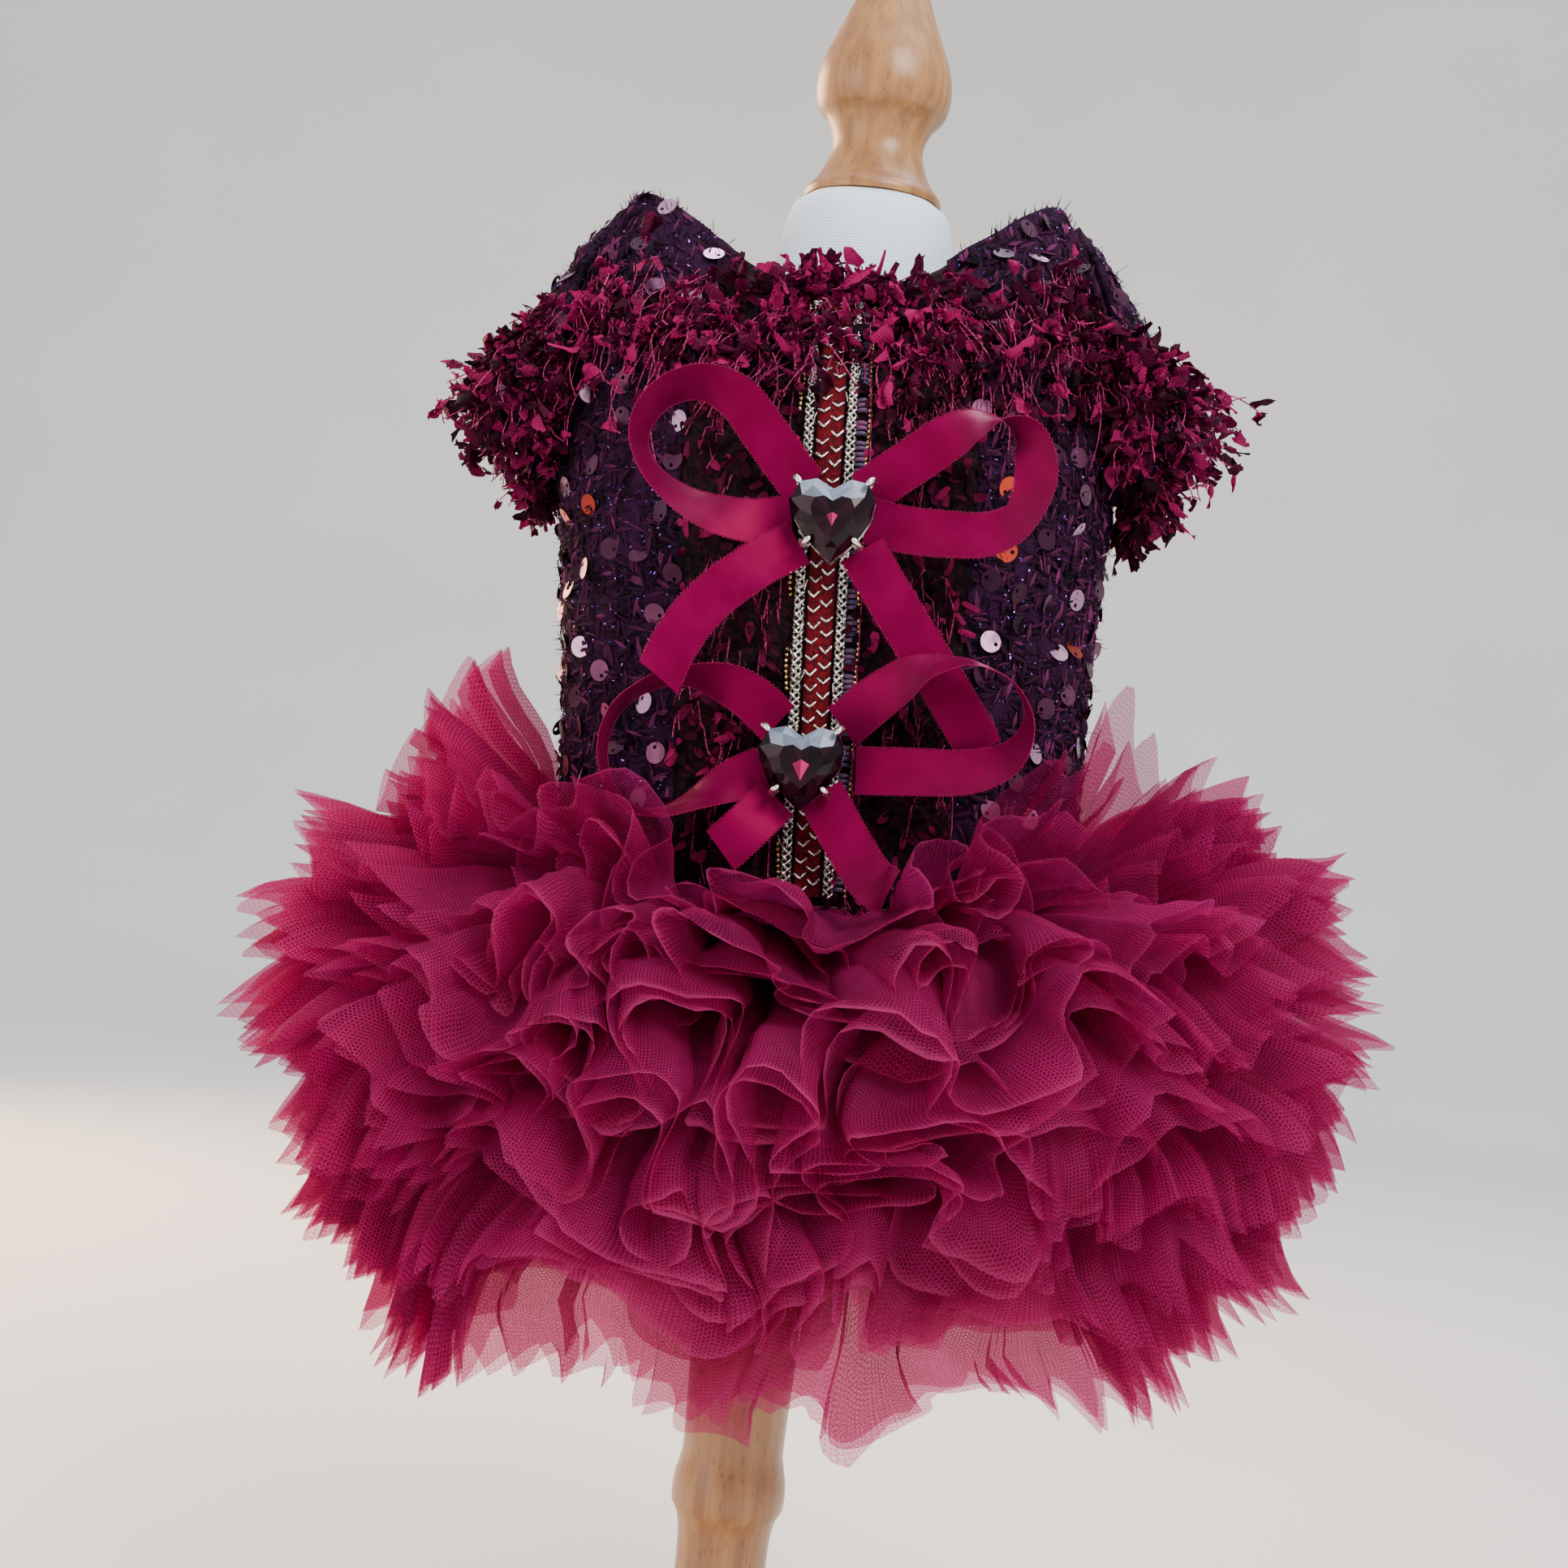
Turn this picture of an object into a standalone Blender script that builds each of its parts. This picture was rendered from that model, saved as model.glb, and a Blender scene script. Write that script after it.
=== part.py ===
"""A small dog's tutu dress on its limbless dress form.

The bodice is cut in five tweed panels with two short flared sleeves, a fringe of
ladder yarn, a braided centre trim and two satin bows with heart stones. The skirt is
seven gathered tiers of tulle on a short yoke. The form is a padded white body on a
turned beech pole, with a turned finial above and a round foot below.

Sizes are in millimetres and become metres where a mesh is made. +X is the right of the
picture, -Y is the front, +Z is up, and the origin is the centre of the foot's underside.
"""
import math
import random

import bmesh
import bpy
from mathutils import Vector

MM = 0.001
SHARP = math.radians(42.0)

# Driving dimensions of the form
FOOT_RADIUS = 64.0
FOOT_THICK = 14.0
FORM_BOTTOM = 209.0
NECK_TOP = 393.0
# Free space between two pieces that meet
FIT = 0.3

# The dress hangs on the form with a slight lean to the left
LEAN = math.radians(3.4)
LEAN_PIVOT_Z = 302.0

# Driving dimensions of the bodice, measured on the outside of the tweed
TWEED = 2.0
WAIST_Z = 222.0
CHEST_Z = 316.0
WAIST_HALF_WIDTH = 62.0
WAIST_HALF_DEPTH = 48.5
SQUARENESS = 2.2
PRINCESS_TURN = 28.0
ARMHOLE_TURN = 54.0
UNDERARM_TURN = 90.0
BACK_LAP_TURN = 9.0
# Turn over which the lapping panel steps up
LAP_STEP = 3.8
# Turns of a side panel's rows of points, with more where the armhole bends
SIDE_TURNS = (36.0, 44.0, 50.0, ARMHOLE_TURN, 60.0, 66.0, 72.0, 78.0, 84.0)
# How far the cloth above the chest swells out, as a share of its rise
SHOULDER_SWELL = 0.55
PANEL_LEVELS = (0.0, 0.3, 0.65, 1.0, 1.35, 1.7, 2.0)
SLEEVE_SIDES = 12
SLEEVE_SHARES = (0.0, 0.35, 0.7, 1.0)
# The sleeve starts this far past the armhole's edge, along its own length
SLEEVE_START = 2.2
# The armhole's depth runs out to nothing where the sine of its turn is under this
CLOSING_SHARE = 0.3
# The sleeve's belly at two thirds of its length: outward, forward at the front, and up
SLEEVE_BELLY = (0.5, 2.0, -3.2)

# Cuff of the flared sleeve
CUFF_X = 78.5
CUFF_Z = 334.5
CUFF_LEAN_X = 4.5
CUFF_HALF_HEIGHT = 13.5
CUFF_HALF_DEPTH = 23.0

# Trims
BAND_WIDTH = 6.0
CHAIN_WIDTH = 2.6
CHAIN_OFFSET = 4.7
RIBBON_WIDTH = 10.0
RIBBON_THICK = 1.0
STONE_WIDTH = 18.6
FRINGE_STRIP = 3.0

# Skirt
TULLE_WALL = 1.2
ROOT_OUT = 1.2
TIER_WAVES = 28
YOKE_BOTTOM_Z = 193.0
YOKE_SIDES = 40

# Sections of the body: height, half width, half depth
BODY_SECTIONS = (
    (WAIST_Z, WAIST_HALF_WIDTH, WAIST_HALF_DEPTH),
    (245.0, 62.4, 49.2),
    (272.0, 63.2, 50.2),
    (296.0, 64.8, 50.8),
    (CHEST_Z, 66.6, 50.0),
)

# Lowest and highest level of the centre trim, and its rows of points
TRIM_LEVELS = (0.02, 1.77, 13)

# The bodice's top edge at one quarter, from the front centre round to the underarm:
# turn in degrees, x, depth from the middle, z
TOP_EDGE = (
    (0.0, 0.0, 28.0, 366.5),
    (14.0, 10.0, 27.5, 366.5),
    (24.0, 20.0, 26.0, 370.0),
    (34.0, 31.0, 21.0, 379.0),
    (43.0, 42.0, 13.5, 388.0),
    (50.0, 50.0, 5.0, 393.0),
    (54.0, 53.5, 4.0, 390.5),
    (64.0, 60.5, 16.0, 371.0),
    (72.0, 64.5, 21.0, 353.0),
    (80.0, 67.0, 17.0, 336.0),
    (90.0, 68.4, 0.4, 324.5),
)

# The fringe's line over the front panels: turn, level
FRINGE_LINE = ((0.0, 1.90), (28.0, 1.80), (45.0, 1.68), (58.0, 1.80), (66.0, 1.93))

# Turned beech finial above the neck: radius, height
FINIAL_PROFILE = (
    (0.0, 455.0),
    (4.6, 454.0),
    (7.7, 450.5),
    (8.6, 446.0),
    (10.4, 441.0),
    (13.4, 433.5),
    (15.9, 427.0),
    (16.7, 421.0),
    (15.8, 416.4),
    (13.0, 412.8),
    (11.3, 408.6),
    (11.4, 404.8),
    (14.0, 398.6),
    (16.9, 394.8),
    (16.6, 393.3),
    (0.0, 393.3),
)

# Turned beech pole with one bead: radius, height
POLE_PROFILE = (
    (0.0, FORM_BOTTOM - FIT),
    (12.4, FORM_BOTTOM - FIT),
    (12.8, 112.0),
    (12.2, 87.0),
    (13.4, 82.5),
    (13.5, 75.0),
    (11.6, 71.5),
    (11.0, 58.0),
    (12.4, 34.0),
    (16.5, 17.5),
    (16.5, FOOT_THICK + FIT),
    (0.0, FOOT_THICK + FIT),
)

# Sides of the turned foot, of the pole and finial, and of the padded body
FOOT_SIDES = 28
POLE_SIDES = 16
BODY_SIDES = 20

# Turned foot: radius, height
FOOT_PROFILE = (
    (0.0, FOOT_THICK),
    (24.0, FOOT_THICK),
    (FOOT_RADIUS - 8.0, FOOT_THICK - 4.0),
    (FOOT_RADIUS - 1.0, FOOT_THICK - 7.5),
    (FOOT_RADIUS, FOOT_THICK - 10.0),
    (FOOT_RADIUS - 1.5, 0.0),
    (0.0, 0.0),
)

# The padded body's free space inside the cloth, how far its sections stand above the
# cloth's, and the height from which its neck is upright
FORM_FIT = 0.8
FORM_RISE = 2.0
NECK_Z = 372.0

# Padded body below the waist and above the bodice's chest line: height, half width,
# half depth
FORM_HIPS = ((FORM_BOTTOM, 36.0, 27.0), (212.0, 47.0, 36.0), (217.0, 55.0, 42.5))
FORM_SHOULDERS = (
    (330.0, 56.0, 42.0),
    (341.0, 44.0, 36.0),
    (351.0, 33.0, 30.0),
    (361.0, 25.5, 25.0),
    (372.0, 22.6, 22.6),
    (385.0, 20.6, 20.6),
    (391.0, 18.8, 18.8),
    (NECK_TOP, 16.0, 16.0),
)

# Tulle tiers, top to bottom: root height, then reach past the waist and hem height at
# the sides, and the same two at the front and back, then the lift half way at the
# sides and at the front
TIERS = (
    (220.4, 43.0, 246.0, 31.0, 216.5, 3.0, 0.5),
    (216.6, 58.0, 228.0, 44.0, 202.5, 5.5, 4.0),
    (212.8, 64.0, 206.5, 51.0, 187.5, 7.0, 6.5),
    (209.0, 63.5, 184.5, 54.0, 172.0, 7.5, 7.5),
    (205.2, 57.0, 163.0, 53.0, 156.0, 7.5, 7.5),
    (201.4, 46.0, 142.5, 49.5, 139.5, 6.5, 6.5),
    (197.6, 31.0, 124.0, 44.0, 122.0, 5.0, 5.0),
)
# Where the top tier stands up at the waist: turn, half width in degrees, lift, pull in
FLARES = ((-93.0, 15.0, 23.0, 20.0), (97.0, 13.0, 8.0, 9.0))
ROOT_SWING = 0.5
# Free space kept between the walls of two tiers
TIER_GAP = 0.5
# One ruffle wave: phase along the wave, and side of the tier, from -1 to 1
WAVE = ((0.10, 1.0), (0.38, 1.0), (0.62, -1.0), (0.88, -1.0))

# Bows: each row is x, y, z and how far the ribbon's width is turned towards the viewer,
# in degrees, where 0 shows its whole face and 90 only its edge
UPPER_BOW = {
    "bow_upper_loop_left": (
        (-5.0, -53.2, 314.5, 0.0),
        (-14.4, -56.0, 326.0, 10.0),
        (-20.4, -58.0, 332.8, 25.0),
        (-28.0, -60.0, 335.6, 50.0),
        (-35.4, -61.5, 333.2, 62.0),
        (-40.2, -62.5, 327.4, 68.0),
        (-41.0, -62.5, 321.0, 72.0),
        (-37.4, -62.0, 314.4, 65.0),
        (-30.6, -60.5, 309.4, 48.0),
        (-22.6, -59.0, 306.6, 28.0),
        (-14.6, -56.6, 306.0, 12.0),
        (-7.4, -55.0, 307.2, 0.0),
    ),
    "bow_upper_loop_right": (
        (8.2, -53.2, 313.4, 0.0),
        (18.6, -56.5, 320.6, 0.0),
        (25.8, -58.5, 325.6, 8.0),
        (32.0, -60.0, 328.8, 40.0),
        (38.0, -60.5, 329.6, 80.0),
        (43.6, -61.5, 326.0, 130.0),
        (45.6, -62.5, 318.0, 150.0),
        (43.2, -63.0, 309.4, 140.0),
        (37.0, -62.0, 304.9, 162.0),
        (27.8, -60.0, 304.5, 172.0),
        (17.6, -56.7, 305.6, 176.0),
        (9.6, -55.1, 307.4, 180.0),
    ),
    "bow_upper_tail_left": (
        (-5.4, -57.2, 301.6, 0.0),
        (-15.2, -60.4, 295.2, 0.0),
        (-24.8, -62.6, 286.6, 4.0),
        (-30.8, -64.2, 277.4, 10.0),
        (-34.2, -65.4, 268.4, 14.0),
    ),
    "bow_upper_tail_right": (
        (8.6, -57.3, 300.6, 0.0),
        (17.6, -59.3, 286.6, 0.0),
        (27.6, -57.6, 272.2, 0.0),
        (37.0, -56.2, 257.8, 0.0),
    ),
}
LOWER_BOW = {
    "bow_lower_loop_left": (
        (-8.0, -53.2, 262.0, 0.0),
        (-13.6, -55.6, 266.8, 14.0),
        (-19.6, -57.0, 269.8, 34.0),
        (-27.6, -57.6, 271.0, 66.0),
        (-36.0, -57.6, 269.2, 78.0),
        (-43.2, -57.8, 263.6, 82.0),
        (-46.0, -58.0, 255.6, 84.0),
        (-44.6, -58.4, 247.6, 84.0),
        (-39.4, -58.8, 241.8, 82.0),
        (-32.2, -59.0, 241.0, 76.0),
        (-24.4, -58.4, 244.4, 58.0),
        (-17.4, -56.4, 248.4, 24.0),
        (-10.6, -55.0, 251.4, 0.0),
    ),
    "bow_lower_loop_right": (
        (6.2, -53.2, 261.8, 0.0),
        (12.4, -58.0, 267.2, 8.0),
        (19.4, -62.0, 272.2, 28.0),
        (26.4, -65.5, 275.2, 62.0),
        (34.4, -67.5, 275.9, 80.0),
        (42.2, -68.5, 272.4, 86.0),
        (46.0, -69.0, 265.8, 96.0),
        (45.0, -68.6, 259.2, 116.0),
        (40.6, -67.0, 254.8, 140.0),
        (32.8, -64.0, 252.6, 160.0),
        (21.6, -59.0, 252.4, 174.0),
        (9.6, -55.1, 252.2, 180.0),
    ),
    "bow_lower_tail_left": (
        (-7.2, -57.4, 245.2, 0.0),
        (-13.4, -61.2, 238.4, 0.0),
        (-19.0, -62.6, 232.6, 0.0),
    ),
    "bow_lower_tail_right": (
        (2.2, -57.2, 247.0, 0.0),
        (10.2, -60.2, 234.0, 0.0),
        (15.0, -67.0, 228.0, 0.0),
        (18.6, -74.5, 226.4, 0.0),
    ),
}
# Centres of the two heart stones, x and z, and the back of their claw plates
STONES = {"upper": (2.0, 306.6), "lower": (-2.0, 252.4)}
PLATE_Y = -58.3
PLATE_THICK = 0.9
# A heart stone from its back to its front: depth before its back, width
STONE_SECTIONS = ((0.0, 10.0), (2.4, STONE_WIDTH), (3.2, STONE_WIDTH), (4.6, 15.6), (6.0, 10.2))

# Half of the heart's outline, from its notch to its point, in parts of its width
HEART = (
    (0.0, 0.34),
    (0.12, 0.43),
    (0.27, 0.48),
    (0.41, 0.41),
    (0.5, 0.25),
    (0.49, 0.06),
    (0.40, -0.13),
    (0.25, -0.31),
    (0.10, -0.45),
    (0.0, -0.53),
)
# Claws round a stone: direction in degrees from +X, and the stone's edge there
CLAWS = ((45.0, 10.9), (135.0, 10.9), (-45.0, 7.4), (-135.0, 7.4))
CLAW_WIDTH = 1.8
CLAW_THICK = 0.9
# Underside of a claw's hook before the plate, its reach over the stone, and how deep the
# claw's root is sunk in the plate
HOOK_HEIGHT = 5.2
HOOK_REACH = 1.6
CLAW_SINK = 0.8

# Fringes: the share of a lock's width and its thickness at its middle, then the seat of the
# strip over the panels and over the sleeve, as its inner and outer height
LOCK_TAPER = 0.6
LOCK_THICK = 1.3
FRONT_SEAT = (0.8, 2.1)
SLEEVE_SEAT = (TWEED + 0.9, TWEED + 2.2)
FRONT_LOCKS = 44
SLEEVE_FRONT_LOCKS = 9
CUFF_LOCKS = 30
# Drop of a front lock in levels, the least height of its middle and tip over the panels,
# and how much further it may stand off them
FRONT_DROP = (0.40, 0.58)
FRONT_STAND = (3.8, 4.0)
FRONT_LIFT = (0.0, 1.6)
# Length of a lock on the sleeve's front, and of one at the cuff's top
SLEEVE_LOCK = (12.0, 16.0)
CUFF_LOCK = (13.0, 18.0)
# Where the sleeve's fringe starts and where it runs round the cuff: turn, length
SLEEVE_FRINGE = ((62.0, 0.14), (22.0, 0.92))
CUFF_LENGTH = 0.94


def remove_startup_objects():
    for thing in list(bpy.data.objects):
        bpy.data.objects.remove(thing, do_unlink=True)


def new_collection(name):
    collection = bpy.data.collections.new(name)
    bpy.context.scene.collection.children.link(collection)
    return collection


def finish_of(name, colour, roughness, metallic=0.0):
    """A plain Principled material with a linear colour."""
    material = bpy.data.materials.new(name)
    material.use_nodes = True
    shader = material.node_tree.nodes["Principled BSDF"]
    shader.inputs["Base Color"].default_value = (*colour, 1.0)
    shader.inputs["Roughness"].default_value = roughness
    shader.inputs["Metallic"].default_value = metallic
    return material


def add_object(name, bm, material, parent=None):
    """Put a bmesh in millimetres into the dress's collection, smooth, in metres."""
    bmesh.ops.scale(bm, vec=(MM, MM, MM), verts=bm.verts)
    mesh = bpy.data.meshes.new(name)
    bm.to_mesh(mesh)
    bm.free()
    mesh.shade_smooth()
    mesh.set_sharp_from_angle(angle=SHARP)
    mesh.materials.append(material)
    thing = bpy.data.objects.new(name, mesh)
    COLLECTION.objects.link(thing)
    thing.parent = parent
    return thing


def turned(name, profile, sides, material):
    """A lathe-turned piece: a profile of radius and height, under a Screw modifier."""
    bm = bmesh.new()
    verts = [bm.verts.new((radius, 0.0, height)) for radius, height in profile]
    for first, second in zip(verts, verts[1:]):
        bm.edges.new((first, second))
    thing = add_object(name, bm, material)
    screw = thing.modifiers.new("Turn", "SCREW")
    screw.steps = sides
    screw.render_steps = sides
    screw.use_merge_vertices = True
    screw.merge_threshold = 0.00001
    screw.use_smooth_shade = True
    return thing


def grid_of(rows, closed):
    """An open surface through rows of points, each row round the body."""
    bm = bmesh.new()
    verts = [[bm.verts.new(point) for point in row] for row in rows]
    count = len(rows[0])
    steps = range(count) if closed else range(count - 1)
    for low, high in zip(verts, verts[1:]):
        for i in steps:
            j = (i + 1) % count
            bm.faces.new((low[i], low[j], high[j], high[i]))
    return bm


def wall(name, rows, thick, material, parent, closed=False, side=-1.0):
    """A cloth wall: an open surface of points, thickened by a Solidify modifier."""
    thing = add_object(name, grid_of(rows, closed), material, parent)
    solidify = thing.modifiers.new("Cloth", "SOLIDIFY")
    solidify.thickness = thick * MM
    solidify.offset = side
    return thing


def swept_strip(points, across, normals, width, thick):
    """A closed flat strip along points, as a bmesh with a square section."""
    bm = bmesh.new()
    rings = []
    for point, sideways, outward in zip(points, across, normals):
        half = sideways * (width / 2)
        depth = outward * (thick / 2)
        corners = (point - half - depth, point + half - depth, point + half + depth, point - half + depth)
        rings.append([bm.verts.new(corner) for corner in corners])
    for one, two in zip(rings, rings[1:]):
        for i in range(4):
            j = (i + 1) % 4
            bm.faces.new((one[i], one[j], two[j], two[i]))
    bm.faces.new(tuple(reversed(rings[0])))
    bm.faces.new(tuple(rings[-1]))
    bmesh.ops.recalc_face_normals(bm, faces=bm.faces)
    return bm


def between(table, key):
    """The values of a table with sorted first column, at a key between its rows."""
    for low, high in zip(table, table[1:]):
        if key <= high[0]:
            break
    share = (key - low[0]) / (high[0] - low[0])
    return [a + (b - a) * share for a, b in zip(low[1:], high[1:])]


def smooth_between(table, key):
    """As between, but along a smooth curve through the rows."""
    last = len(table) - 2
    index = max(i for i in range(last + 1) if i == 0 or table[i][0] <= key)
    before = table[max(index - 1, 0)]
    low, high = table[index], table[index + 1]
    after = table[min(index + 2, last + 1)]
    span = high[0] - low[0]
    t = (key - low[0]) / span
    values = []
    for a, b, c, d in zip(before[1:], low[1:], high[1:], after[1:]):
        slope_b = (c - a) / (high[0] - before[0]) * span if before is not low else c - b
        slope_c = (d - b) / (after[0] - low[0]) * span if after is not high else c - b
        values.append(
            (2 * t**3 - 3 * t**2 + 1) * b
            + (t**3 - 2 * t**2 + t) * slope_b
            + (3 * t**2 - 2 * t**3) * c
            + (t**3 - t**2) * slope_c
        )
    return values


def ellipse_point(turn, half_width, half_depth, height):
    """A point on the body's rounded section; turn 0 is the front and 90 the right side."""
    sine, cosine = math.sin(math.radians(turn)), math.cos(math.radians(turn))
    power = 2 / SQUARENESS
    x = half_width * math.copysign(abs(sine) ** power, sine)
    y = -half_depth * math.copysign(abs(cosine) ** power, cosine)
    return Vector((x, y, height))


def tube_point(turn, height):
    half_width, half_depth = smooth_between(BODY_SECTIONS, height)
    return ellipse_point(turn, half_width, half_depth, height)


def top_edge_point(turn):
    """The neckline and armhole edge at a turn."""
    turn = (turn + 180) % 360 - 180
    quarter = abs(turn) if abs(turn) <= 90 else 180 - abs(turn)
    x, depth, z = smooth_between(TOP_EDGE, quarter)
    front = abs(turn) <= 90
    return Vector((math.copysign(x, turn), -depth if front else depth, z))


def body_point(turn, level):
    """The bodice's outside: level 0 is the waist, 1 the chest line and 2 the top edge."""
    if level <= 1:
        return tube_point(turn, WAIST_Z + (CHEST_Z - WAIST_Z) * level)
    chest, edge = tube_point(turn, CHEST_Z), top_edge_point(turn)
    bulge = chest + Vector((0, 0, SHOULDER_SWELL * (edge.z - chest.z)))
    t = level - 1
    return chest * (1 - t) ** 2 + bulge * (2 * t * (1 - t)) + edge * t**2


def armhole_point(turn):
    """The armhole edge on the right: 0 is the shoulder, 90 the front, 180 the underarm."""
    wrapped = (turn + 180) % 360 - 180
    quarter = ARMHOLE_TURN + abs(wrapped) / 180 * (UNDERARM_TURN - ARMHOLE_TURN)
    x, depth, z = smooth_between(TOP_EDGE, quarter)
    share = math.sin(math.radians(wrapped))
    depth *= min(abs(share) / CLOSING_SHARE, 1.0)
    return Vector((x, math.copysign(depth, -share) if share else 0.0, z))


def sleeve_point(turn, length):
    """The right sleeve's outside: length 0 is the armhole and 1 the cuff's edge."""
    cosine, sine = math.cos(math.radians(turn)), math.sin(math.radians(turn))
    cuff = Vector((
        CUFF_X + CUFF_LEAN_X * cosine,
        -CUFF_HALF_DEPTH * sine,
        CUFF_Z + CUFF_HALF_HEIGHT * cosine,
    ))
    out, forward, up = SLEEVE_BELLY
    belly = Vector((out, -forward * sine, up * max(cosine, 0.0)))
    swell = length**2 * (1 - length) / (4 / 27)
    return armhole_point(turn).lerp(cuff, length) + belly * swell


def normal_at(surface, turn, level):
    """The outward unit normal of a surface that is told by a turn and a level."""
    step = 0.01
    low, high = (level - step, level) if level > 1 - step else (level, level + step)
    round_it = surface(turn + 0.5, level) - surface(turn - 0.5, level)
    up_it = surface(turn, high) - surface(turn, low)
    return round_it.cross(up_it).normalized()


def body_out(turn, level, out):
    """A point over the bodice, moved out from its outside."""
    return body_point(turn, level) + normal_at(body_point, turn, level) * out


def mirrored(point, side):
    return Vector((point.x * side, point.y, point.z))


def steps_between(low, high, count):
    return [low + (high - low) * i / count for i in range(count + 1)]


def make_form():
    """The padded body, pole, foot and finial of the dress form."""
    turned("form_foot", FOOT_PROFILE, FOOT_SIDES, BEECH)
    turned("form_pole", POLE_PROFILE, POLE_SIDES, BEECH)
    turned("form_finial", FINIAL_PROFILE, POLE_SIDES, BEECH)
    inset = TWEED + FORM_FIT
    rings = list(FORM_HIPS)
    for height, half_width, half_depth in BODY_SECTIONS:
        rings.append((height + FORM_RISE, half_width - inset, half_depth - inset))
    rings.extend(FORM_SHOULDERS)
    rows = []
    for height, half_width, half_depth in rings:
        upright = min(max((height - CHEST_Z) / (NECK_Z - CHEST_Z), 0.0), 1.0)
        shift = -(height - LEAN_PIVOT_Z) * math.tan(LEAN) * (1 - upright)
        rows.append([
            ellipse_point(turn, half_width, half_depth, height) + Vector((shift, 0, 0))
            for turn in steps_between(0, 360, BODY_SIDES)[:-1]
        ])
    bm = grid_of(rows, closed=True)
    corners = list(bm.verts)
    bm.faces.new(reversed(corners[:BODY_SIDES]))
    bm.faces.new(corners[-BODY_SIDES:])
    add_object("form_body", bm, JERSEY)


def make_panel(name, turns, material, lap_from=math.inf):
    """One bodice panel between two turns, which may step up to lap over its neighbour."""
    rows = []
    for level in PANEL_LEVELS:
        rows.append([
            body_out(turn, level, TWEED + FIT if turn > lap_from else 0.0) for turn in turns
        ])
    wall(name, rows, TWEED, material, DRESS)


def make_bodice():
    """Five panels: the front centre, two side fronts, and two backs that lap."""
    seam = math.degrees(FIT / WAIST_HALF_DEPTH) / 2 + 0.1
    side_front = [PRINCESS_TURN + seam, *SIDE_TURNS, UNDERARM_TURN - seam]
    side_back = [180 - turn for turn in reversed(side_front)]
    centre = steps_between(seam - PRINCESS_TURN, PRINCESS_TURN - seam, 6)
    make_panel("front_centre", centre, YARN_CLOTH)
    make_panel("side_front_right", side_front, TWEED_CLOTH)
    make_panel("side_front_left", sorted(-turn for turn in side_front), TWEED_CLOTH)
    lap_start = 180 - BACK_LAP_TURN
    over = [*side_back, 164, lap_start, lap_start + LAP_STEP, 180, 180 + BACK_LAP_TURN]
    under = [lap_start + 2 * LAP_STEP, 188, 196, *sorted(360 - turn for turn in side_back)]
    make_panel("back_right", over, TWEED_CLOTH, lap_from=lap_start)
    make_panel("back_left", under, TWEED_CLOTH)


def make_sleeve(name, side):
    """A short flared sleeve that stands up to a point at the shoulder."""
    turns = [-way * 360 / SLEEVE_SIDES for way in range(SLEEVE_SIDES)]
    rows = []
    for share in SLEEVE_SHARES:
        row = []
        for turn in turns:
            length = (sleeve_point(turn, 1) - sleeve_point(turn, 0)).length
            start = SLEEVE_START / length
            point = sleeve_point(turn, start + (1 - start) * share)
            row.append(mirrored(point, side))
        rows.append(row if side < 0 else list(reversed(row)))
    wall(name, rows, TWEED, TWEED_CLOTH, DRESS, closed=True, side=1.0)


def strip_on_surface(places, surface, width, seat, side=1):
    """A trim laid along places of turn and level, between two heights over the cloth."""
    inner, outer = seat
    points, normals = [], []
    for turn, level in places:
        outward = normal_at(surface, turn, level)
        points.append(mirrored(surface(turn, level) + outward * ((inner + outer) / 2), side))
        normals.append(mirrored(outward, side))
    across = []
    for i, outward in enumerate(normals):
        tangent = points[min(i + 1, len(points) - 1)] - points[max(i - 1, 0)]
        across.append(tangent.cross(outward).normalized())
    return swept_strip(points, across, normals, width, outer - inner)


def turn_at_x(x, level):
    """The turn at which the bodice's front is x to the right of its middle."""
    low, high = -60.0, 60.0
    for _ in range(24):
        middle = (low + high) / 2
        if body_point(middle, level).x < x:
            low = middle
        else:
            high = middle
    return (low + high) / 2


def make_trim():
    """The velvet band and the two chain braids down the front centre."""
    levels = steps_between(*TRIM_LEVELS)
    rows = (
        ("trim_band", 0.0, BAND_WIDTH, 1.5, VELVET),
        ("trim_chain_left", -CHAIN_OFFSET, CHAIN_WIDTH, 2.1, SILVER),
        ("trim_chain_right", CHAIN_OFFSET, CHAIN_WIDTH, 2.1, SILVER),
    )
    for name, x, width, height, material in rows:
        places = [(turn_at_x(x, level), level) for level in levels]
        strip = strip_on_surface(places, body_point, width, (FIT, height))
        add_object(name, strip, material, DRESS)


def make_ribbon(name, table):
    """A satin ribbon along a smooth curve through its table's rows."""
    keyed = [(float(i), *row) for i, row in enumerate(table)]
    last = len(table) - 1
    stations = steps_between(0, last, max(2 * last, 5) if last < 6 else 16)
    samples = [smooth_between(keyed, key) for key in stations]
    points = [Vector(sample[:3]) for sample in samples]
    viewer = Vector((0, -1, 0))
    across, normals = [], []
    for i, sample in enumerate(samples):
        tangent = (points[min(i + 1, len(points) - 1)] - points[max(i - 1, 0)]).normalized()
        flat = tangent.cross(viewer).normalized()
        facing = flat.cross(tangent).normalized()
        angle = math.radians(sample[3])
        sideways = flat * math.cos(angle) + facing * math.sin(angle)
        across.append(sideways)
        normals.append(sideways.cross(tangent).normalized())
    strip = swept_strip(points, across, normals, RIBBON_WIDTH, RIBBON_THICK)
    add_object(name, strip, SATIN, DRESS)


def heart_outline(width):
    """A heart of a given width about its middle, clockwise from its notch."""
    left = [(-x, z) for x, z in reversed(HEART[1:-1])]
    return [(x * width, z * width) for x, z in (*HEART, *left)]


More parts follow.
